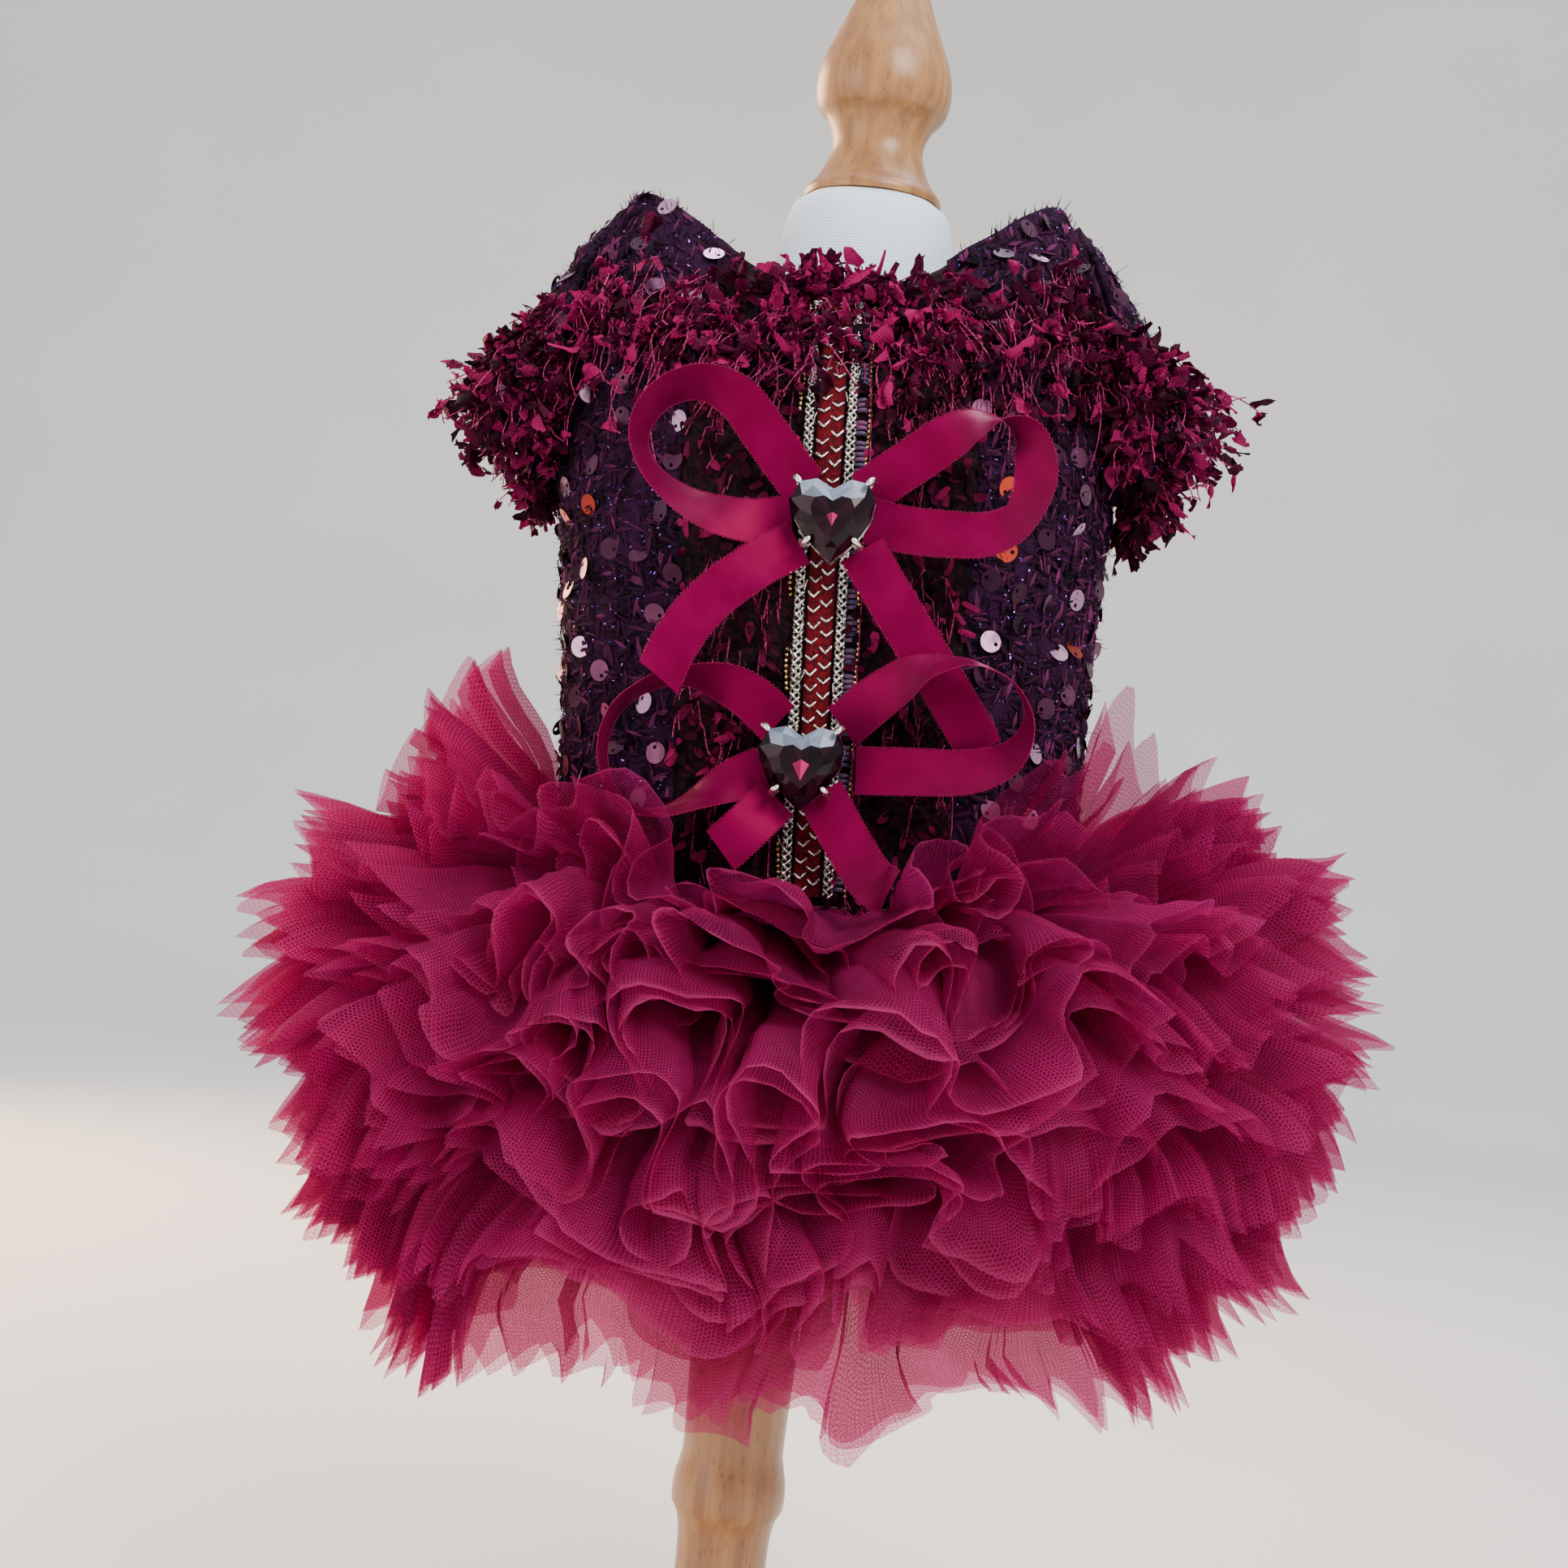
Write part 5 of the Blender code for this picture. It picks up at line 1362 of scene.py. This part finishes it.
def make_band():
    """The velvet band up the centre, rounded across with its edges folded under."""
    rows, columns = 150, 13
    across = np.linspace(-1, 1, columns)[None, :]
    marks = np.linspace(0, TRIM_LENGTH, rows)[:, None]
    grid = on_trim(across * BAND_WIDTH / 2, marks, 1.25 * (1 - across**8) + 0.25)
    faces = grid_faces(rows, columns)
    band = add_piece("band_velvet", grid, faces, [velvet_material()], "red_velvet", ("trim_band",))


def make_stitches(silver, chance):
    """Two columns of silver V stitches on the band."""
    aside, along, out = np.array(STITCH).T
    stitches = []
    for column, start in ((-STITCH_COLUMN, 0.8), (STITCH_COLUMN, 0.8 + STITCH_PITCH / 2)):
        for mark in np.arange(start, TRIM_LENGTH - 2, STITCH_PITCH):
            lean = chance.uniform(-0.25, 0.25, 2)
            marks = along * chance.uniform(0.8, 1.2) + mark + lean[1]
            stitches.append(on_trim(aside + column + lean[0], marks, out))
    threads = tubes(np.array(stitches), STITCH_THREAD, 5)
    add_piece("stitches_silver", *threads, [silver], "silver_chain")


def make_plaits(silver, chance):
    """A plait of three silver strands down each side of the band, with loose plies."""
    mark, spot = np.arange(0, TRIM_LENGTH, 0.34), np.linspace(0, 1, 5)
    for side, way in (("left", -1), ("right", 1)):
        strands, loose = [], []
        for strand in range(3):
            phase = 2 * math.pi * (mark / PLAIT_PITCH + strand / 3)
            x = way * CHAIN_OFFSET + np.sin(phase)
            strands.append(on_trim(x, mark, 1.4 + 0.7 * np.sin(2 * phase + 0.6)))
        for start in chance.uniform(1, TRIM_LENGTH - 4, LOOSE_PLIES):
            x = way * (CHAIN_OFFSET + chance.uniform(-1.2, 1.2) + chance.uniform(-1, 1) * spot)
            loose.append(on_trim(x, start + 2.4 * spot, 1.8 + 0.9 * np.sin(math.pi * spot)))
        plait = joined((
            tubes(np.array(strands), PLAIT_STRAND, 6), tubes(np.array(loose), LOOSE_PLY, 4)
        ))
        add_piece(f"plait_silver_{side}", *plait, [silver], "silver_chain", (f"trim_chain_{side}",))


def make_rungs(chance):
    """Short wrapped rungs in groups of three to six up the right of the trim."""
    rungs, shades, spot = [], [], np.linspace(0, 1, 4)
    mark = 2.0
    while mark < TRIM_LENGTH - 2:
        for _ in range(int(chance.integers(3, 7))):
            if mark < TRIM_LENGTH - 2:
                aslant = mark + chance.uniform(-0.2, 0.2) * spot
                rungs.append(on_trim(6.0 + 2.0 * spot, aslant, 0.7 + 0.5 * np.sin(math.pi * spot)))
                shades.append(chance.uniform(0, 1))
                mark += BEAD_PITCH
        mark += chance.uniform(0.8, 3.2)
    points, faces = tubes(np.array(rungs), RUNG_CORD, 6)
    shade = np.repeat(shades, points[0, ..., 0].size)
    add_piece("rungs_rayon", points, faces, [rung_material()], "dark_yarn_cloth", shade=shade)


def make_beads(gold):
    """Small round gold beads in a chain right of the trim and in short rows left of it."""
    sides, rings = 7, 5
    right = np.arange(0.5, TRIM_LENGTH, BEAD_PITCH)
    starts = np.arange(4, TRIM_LENGTH - 10, BEAD_ROW_PITCH)
    left = np.concatenate([np.arange(start, start + BEAD_ROW, BEAD_PITCH) for start in starts])
    chain = on_trim(8.5 + 0.25 * np.sin(right / 4), right, 0.95)
    rows = on_trim(-6.7 + 0.3 * np.sin(left / 3), left, 0.95)
    centres = np.concatenate((chain, rows))
    turn, tilt = angles_round(sides), np.linspace(0.02, math.pi - 0.02, rings)[:, None]
    ball = together(np.sin(tilt) * np.cos(turn), np.sin(tilt) * np.sin(turn), np.cos(tilt))
    faces = grid_faces(rings, sides, len(centres), wrap=True)
    balls = centres[:, None, None] + ball * BEAD_RADIUS
    add_piece("beads_gold", balls, faces, [gold], "silver_chain")


def make_trim():
    """The velvet band with its V stitches, the two plaits, the rungs and the bead chains."""
    chance = np.random.default_rng(5)
    silver = metal_thread_material("silver_thread_braided", "#8c8880", "#f4f1ea")
    make_band()
    make_stitches(silver, chance)
    make_plaits(silver, chance)
    make_rungs(chance)
    make_beads(metal_thread_material("gold_bead_plated", "#7a5a22", "#f6dc9a"))


def make_ribbon(name, table, satin):
    """A satin ribbon, its free end cut on the slant, and its picot edges' points and faces."""
    last, columns = len(table) - 1, 11
    tail = "tail" in name
    keyed = numbered(table)
    stations = 24 * last
    across = np.linspace(-1, 1, columns)[None, :]
    key = np.linspace(0, last, stations)[:, None]
    # A tail's points are drawn back along it more and more from one edge to the other
    slant = 0.24 * (1 if "left" in name else -1) if tail else 0.0
    key = np.clip(key - slant * (across + 1) / 2 * (key / last) ** 3 * last / 3, 0, last)
    sample = smooth_between(keyed, key)
    ahead, behind = (smooth_between(keyed, np.clip(key + step, 0, last)) for step in (0.02, -0.02))
    # The ribbon's width turns about its run, from upright towards the viewer
    tangent = unit((ahead - behind)[..., :3])
    flat_way = unit(np.cross(tangent, (0.0, -1.0, 0.0)))
    facing = unit(np.cross(flat_way, tangent))
    angle = np.radians(sample[..., 3:])
    sideways = flat_way * np.cos(angle) + facing * np.sin(angle)
    normal = unit(np.cross(sideways, tangent))
    bow_out = 0.25 * (1 - across**2)
    grid = sample[..., :3] + sideways * (across * RIBBON_WIDTH / 2)[..., None] + normal * bow_out[..., None]
    run = run_along(grid[:, columns // 2])
    cut = together(run[:, None], across * RIBBON_WIDTH / 2, 0.0)
    faces = grid_faces(stations, columns)
    thing = add_piece(f"satin_{name}", grid, faces, [satin], "satin_ribbon", (name,), cut=cut)

    # Picots go out and in along both edges
    marks = np.arange(0, run[-1], PICOT_STEP)
    zigzag = np.resize(PICOT_OUT, len(marks))
    edges = []
    for column, outward in ((0, -1), (columns - 1, 1)):
        line, out = (
            np.stack([np.interp(marks, run, values) for values in vectors[:, column].T], axis=-1)
            for vectors in (grid, sideways)
        )
        edges.append(line + unit(out) * (zigzag * outward)[:, None])
    return tubes(np.array(edges), PICOT_THREAD, 4)


def make_bows():
    """The two bows' loops and tails."""
    satin, loops = satin_material(), satin_edge_material()
    edges = joined([make_ribbon(name, table, satin) for name, table in BOWS.items()])
    add_piece("picots_satin", *edges, [loops], "satin_ribbon")


def heart_ring(x, y, z, width, half_step=0):
    """Points round a heart of a given width, clockwise from near its notch."""
    outline = np.array([*HEART, *((-side, up) for side, up in reversed(HEART[1:-1])), HEART[0]])
    run = run_along(outline)
    marks = (np.arange(STONE_SIDES) + 0.5 * half_step) / STONE_SIDES * run[-1]
    side, up = (np.interp(marks, run, column) * width for column in outline.T)
    return together(x + side, y, z + up)


def stone_faces():
    """Triangles of a stone's facets, row by row, round its tip, and of the kite before it."""
    faces, sides = [], STONE_SIDES
    for row, (before, after) in enumerate(zip(STONE_RINGS, STONE_RINGS[1:])):
        for i in range(sides):
            low, next_low = row * sides + i, row * sides + (i + 1) % sides
            high, next_high = low + sides, next_low + sides
            if after[2] >= before[2]:
                faces += [(low, next_low, high), (next_low, next_high, high)]
            else:
                faces += [(low, next_high, high), (low, next_low, next_high)]
    tip = len(STONE_RINGS) * sides
    faces += [(tip - sides + i, tip - sides + (i + 1) % sides, tip) for i in range(sides)]
    return np.array([*faces, (tip + 1, tip + 2, tip + 3), (tip + 1, tip + 3, tip + 4)])


def make_stone(label, x, z, kite, materials):
    """A faceted heart stone, with a painted sky reflection on the facets that look up, and a pink kite in
    front that is a painted reflection of its foil.
    """
    chance = np.random.default_rng(len(label) + int(z))
    back = PLATE_FRONT - FIT
    front = back - STONE_RINGS[-1][0]
    rings = [heart_ring(x, back - depth, z, width, half) for depth, width, half in STONE_RINGS]
    side, up = (np.array(KITE) * kite).T
    points = np.concatenate((*rings, [(x, front - 0.05, z)], together(x + side, front - 0.12, z + up)))
    corners = stone_faces()
    # The last two triangles are the kite, a painted reflection of the foil behind the stone
    kinds = np.repeat((0, 1), (len(corners) - 2, 2))
    across = np.cross(*(points[corners[:, i]] - points[corners[:, 0]] for i in (1, 2)))
    skyward = unit(across)[:, 2] * np.sign(-across[:, 1])
    bright, dark = (chance.uniform(*limits, len(corners)) for limits in ((0.8, 1.0), (0, 0.65)))
    # Facets that look up get a painted grey-blue reflection of the sky; the rest are dark plum at random
    # tones
    tone = np.where(skyward > 0.3, bright, dark)
    # The kite's two halves: a painted highlight on one, painted shade on the other
    tone[-2:] = (0.9, 0.2)
    add_piece(
        f"crystal_{label}", points[corners], np.arange(corners.size).reshape(-1, 3), materials,
        "plum_crystal", (f"stone_{label}",), kinds, flat=True, shade=np.repeat(tone, 3),
    )


def make_claws(label, x, z, plated):
    """A stone's heart plate and four rounded claws."""
    outline = ((PLATE_Y, 0.1), (PLATE_Y, STONE_WIDTH), (PLATE_FRONT, STONE_WIDTH), (PLATE_FRONT, 0.1))
    plate = np.array([heart_ring(x, y, z, width) for y, width in outline])
    parts = [(plate, grid_faces(len(outline), STONE_SIDES, wrap=True))]
    radius = CLAW_RADIUS * np.sqrt(np.clip(1 - np.linspace(0, 1, CLAW_STATIONS) ** 12, 0.0, 1.0))
    for direction, edge in CLAWS:
        angle = math.radians(direction)
        way = np.array((math.cos(angle), 0.0, math.sin(angle)))
        hook = numbered(np.add(CLAW_HOOK, (edge, PLATE_FRONT)))
        fine = smooth_between(hook, np.linspace(0, len(hook) - 1, CLAW_STATIONS))
        path = np.array((x, 0.0, z)) + way * fine[:, :1] + np.array((0.0, 1.0, 0.0)) * fine[:, 1:]
        parts.append(tubes(path[None], radius[None], 12, facing=(-way[2], 0.01, way[0])))
    add_piece(f"claws_plated_{label}", *joined(parts), [plated], "silver_metal", (f"claws_{label}",))


def share_near(turn, centre, half_width):
    """A smooth hump over turns, 1 at its centre."""
    return np.exp(-(((from_behind(turn) - centre) / half_width) ** 2))


def tier_fall(index, turn, rises, risen):
    """A tier's root, middle and hem at turns, as reach past the waist and height, and its upward way."""
    root_z, side_reach, side_z, front_reach, front_z, side_lift, front_lift = TIERS[index]
    to_side = np.sin(np.radians(turn)) ** 2
    reach = front_reach + (side_reach - front_reach) * to_side
    hem_z = front_z + (side_z - front_z) * to_side
    lift = front_lift + (side_lift - front_lift) * to_side
    for centre, half_width, rise, pull in rises:
        share = risen * share_near(turn, centre, half_width)
        reach = reach - pull * share
        hem_z = hem_z + rise * share
    root = together(ROOT_OUT, np.full_like(turn, root_z))
    hem = together(ROOT_OUT + reach, hem_z)
    along = unit(hem - root)
    upward = together(-along[..., 1], along[..., 0])
    return root, (root + hem) / 2 + upward * lift[..., None], hem, upward


def fold_table(chance):
    """Places of a tier's folds round it, and each fold's size, jut and lean, as columns."""
    widths = chance.uniform(0.5, 1.5, FOLDS)
    edges = np.concatenate(([0.0], np.cumsum(widths))) / widths.sum() * 360
    ways = [chance.uniform(*limits, FOLDS + 1) for limits in ((0.5, 1.25), (-1, 1), (-1, 1))]
    rows = together(np.arange(FOLDS + 1.0), edges, *ways)
    rows[-1, 2:] = rows[0, 2:]
    return rows


def drift(points, share):
    """How far the tulle drifts at points, for a share of the full drift at each."""
    moved = np.zeros_like(points)
    for number, (length, through, way, size) in enumerate(DRIFTS):
        phase = points @ unit(np.array(through)) * (2 * math.pi / length) + 1.7 * number
        moved += np.sin(phase)[..., None] * unit(np.array(way)) * size
    return moved * share[..., None]


def layer_shape(tier, layer, folds, chance):
    """A layer's grid of points, how far each column is pleated, and how far it stands up."""
    phase = np.linspace(0, FOLDS, FOLDS * FOLD_POINTS + 1)
    turn, size, jut, lean = np.moveaxis(smooth_between(folds, phase), -1, 0)
    turn = turn + 180
    to_side = np.sin(np.radians(turn)) ** 2
    angle = 2 * math.pi * phase
    shift = chance.uniform(0, 2 * math.pi, 3)
    wander = np.sin(5 * angle / FOLDS + shift[0]) + 0.7 * np.sin(8 * angle / FOLDS + shift[1])
    # Folds are loose in front and behind, and sharply pleated at the sides and low down
    low = tier / (len(TIERS) - 1)
    sharp = np.clip(1.15 * to_side + 0.6 * low**2, 0, 1)
    loose = np.sin(angle + 0.5 * wander) * size * (FRONT_SWING[tier] * (1 - sharp) + SIDE_SWING * sharp)
    pleat = 2 / math.pi * np.arcsin(np.sin(PLEATS * angle + 2 * wander + shift[2]))
    overhang = (0.20 * (1 - sharp) + 0.03 * sharp) * np.sin(2 * angle + wander) * size
    fold_width = 2 * math.pi * (WAIST_HALF_WIDTH + FOLD_REACH) / FOLDS

    # The hem is ragged, less so where the top tier stands up
    rises = () if tier else RISES
    root, middle, hem, upward = tier_fall(tier, turn, rises, LAYER_RISE[layer])
    stands = sum((share_near(turn, centre, wide) for centre, wide, _, _ in rises), np.zeros_like(turn))
    ragged = 0.3 * jut + 0.65 * pleat * np.clip(size + 0.4 * wander, 0.2, 1.5)
    jag = (1 - 0.6 * stands) * (1.2 + 8.0 * sharp) * ragged
    longer = LAYER_LENGTH[layer] + 2.6 * (1 - sharp) * wander
    hem = hem + unit(hem - middle) * (jag + longer)[:, None]
    sag = together(0.0, FRONT_SAG[tier] * (1 - to_side))
    pull = 2 * (middle - sag) - (root + hem) / 2
    waist, ahead = (ellipse(at, WAIST_HALF_WIDTH, WAIST_HALF_DEPTH, 0.0) for at in (turn, turn + 1))
    tangent = unit(ahead - waist)
    outward = together(tangent[:, 1], -tangent[:, 0], 0.0)
    # Down its fall the layer swings to both sides of it, and its creases show more and more
    crumple = chance.normal(0, 1, (len(TULLE_ROWS), len(phase)))
    crumple = crumple + np.roll(crumple, 1, axis=1) + np.roll(crumple, 2, axis=1)
    crumple[:, -1] = crumple[:, 0]
    rows = []
    for t, creased in zip(TULLE_ROWS, crumple):
        pleated = PLEAT_SWING * (0.2 + 0.8 * sharp) * pleat * (0.45 + 0.55 * t)
        swing = loose * (0.12 + 0.88 * t**0.9) + pleated
        apart = LAYER_SPREAD * (1 - layer) * t + 3.5 * wander * t + 0.4 * creased * t * (1 - 0.7 * sharp)
        lifting = unit(upward + together(0.0, 2.5 * t * (1 - sharp)))
        place = bent(root, pull, hem, t) + lifting * (swing + apart)[:, None]
        aside = t * fold_width * (-overhang + 0.12 * lean)
        point = waist + outward * place[:, :1] + np.array((0.0, 0.0, 1.0)) * place[:, 1:]
        rows.append(point + tangent * aside[:, None])
    grid = np.array(rows)
    drifting = np.array(TULLE_ROWS)[:, None] ** 0.8 * (1 - 0.55 * to_side)
    return grid + drift(grid, drifting), sharp, stands


def make_layer(tier, layer, folds, tulle, chance):
    """One gathered layer of tulle: loose S folds in front and behind, fine pleats at the sides."""
    grid, sharp, stands = layer_shape(tier, layer, folds, chance)
    falls = np.linalg.norm(np.diff(grid, axis=0), axis=-1).mean(axis=1)
    u, v = run_along(grid[-4]), np.cumsum(np.concatenate(([0.0], falls)))
    t = np.array(TULLE_ROWS)[:, None]
    # Cloth that stands up or is sharply pleated has less behind it, so it is clear sooner
    thinner = 1 + 0.6 * np.clip(stands, 0, 1) + 0.3 * sharp
    # The hem row's value is lower where the pleats are sharp, so the painted highlight along the hem fades
    # at the sides
    down = np.where(t < 1, np.clip(t * thinner, 0, 0.96), 1 - 0.03 * sharp)
    thing = add_piece(
        f"tulle_{tier + 1}_{layer + 1}", grid, grid_faces(*grid.shape[:2]), [tulle],
        "burgundy_tulle", (f"skirt_tier_{tier + 1}",), cut=together(u[None, :], v[:, None], 0.0), down=down,
    )


def make_yoke(tulle):
    """The plain net yoke below the waist seam."""
    height = np.linspace(YOKE_BOTTOM_Z, WAIST_Z - FIT, 12)[:, None]
    turn = np.arange(0, 361, 4.0)[None, :]
    grid = ellipse(turn, WAIST_HALF_WIDTH - FIT, WAIST_HALF_DEPTH - FIT, height)
    (width, length), _ = flat_size(grid)
    yoke = add_piece(
        "yoke_tulle", grid, grid_faces(*grid.shape[:2]), [tulle], "burgundy_tulle", ("skirt_yoke",),
        cut=together(turn * width / MM / 360, height, 0.0), down=np.zeros(grid.shape[:2]),
    )


def make_skirt():
    """The yoke and the tiers of tulle, each of several layers that fold together."""
    tulle = tulle_material()
    make_yoke(tulle)
    chance = np.random.default_rng(12)
    lowest = len(LAYER_RISE) - 1
    for tier in range(len(TIERS)):
        folds = fold_table(chance)
        for layer in range(lowest + 1):
            own = folds.copy()
            own[:-1, 2:] += chance.normal(0, 0.15, (FOLDS, 3))
            # A tier's layers fold together, apart from its lowest
            if layer == lowest:
                own = fold_table(chance)
            own[-1, 2:] = own[0, 2:]
            make_layer(tier, layer, own, tulle, chance)


place_camera()
make_studio()
make_form()
make_bodice(tweed_material(), yarn_cloth_material())
make_tweed_yarns(mohair_material(), film_material("lurex_film_cut", "#2c1468", "#8f62cc", 0.12))
make_sequins([
    film_material("sequin_film_lilac", "#a06a96", "#e8b8d4", 0.14),
    film_material("sequin_film_plum", "#2c1024", "#6c3c58", 0.22),
    film_material("sequin_film_copper", "#7a1c1c", "#d04a34", 0.18),
])
YARNS = [ladder_material(), twist_material()]
make_ladder_cloth(YARNS)
make_front_fringe(YARNS)
make_sleeve_fringes(YARNS)
make_trim()
make_bows()
PLATED, STONE_FILMS = plated_material(), [crystal_material(), foil_material()]
for stone, (stone_x, stone_z, kite_size) in STONES.items():
    make_stone(stone, stone_x, stone_z, kite_size, STONE_FILMS)
    make_claws(stone, stone_x, stone_z, PLATED)
make_skirt()
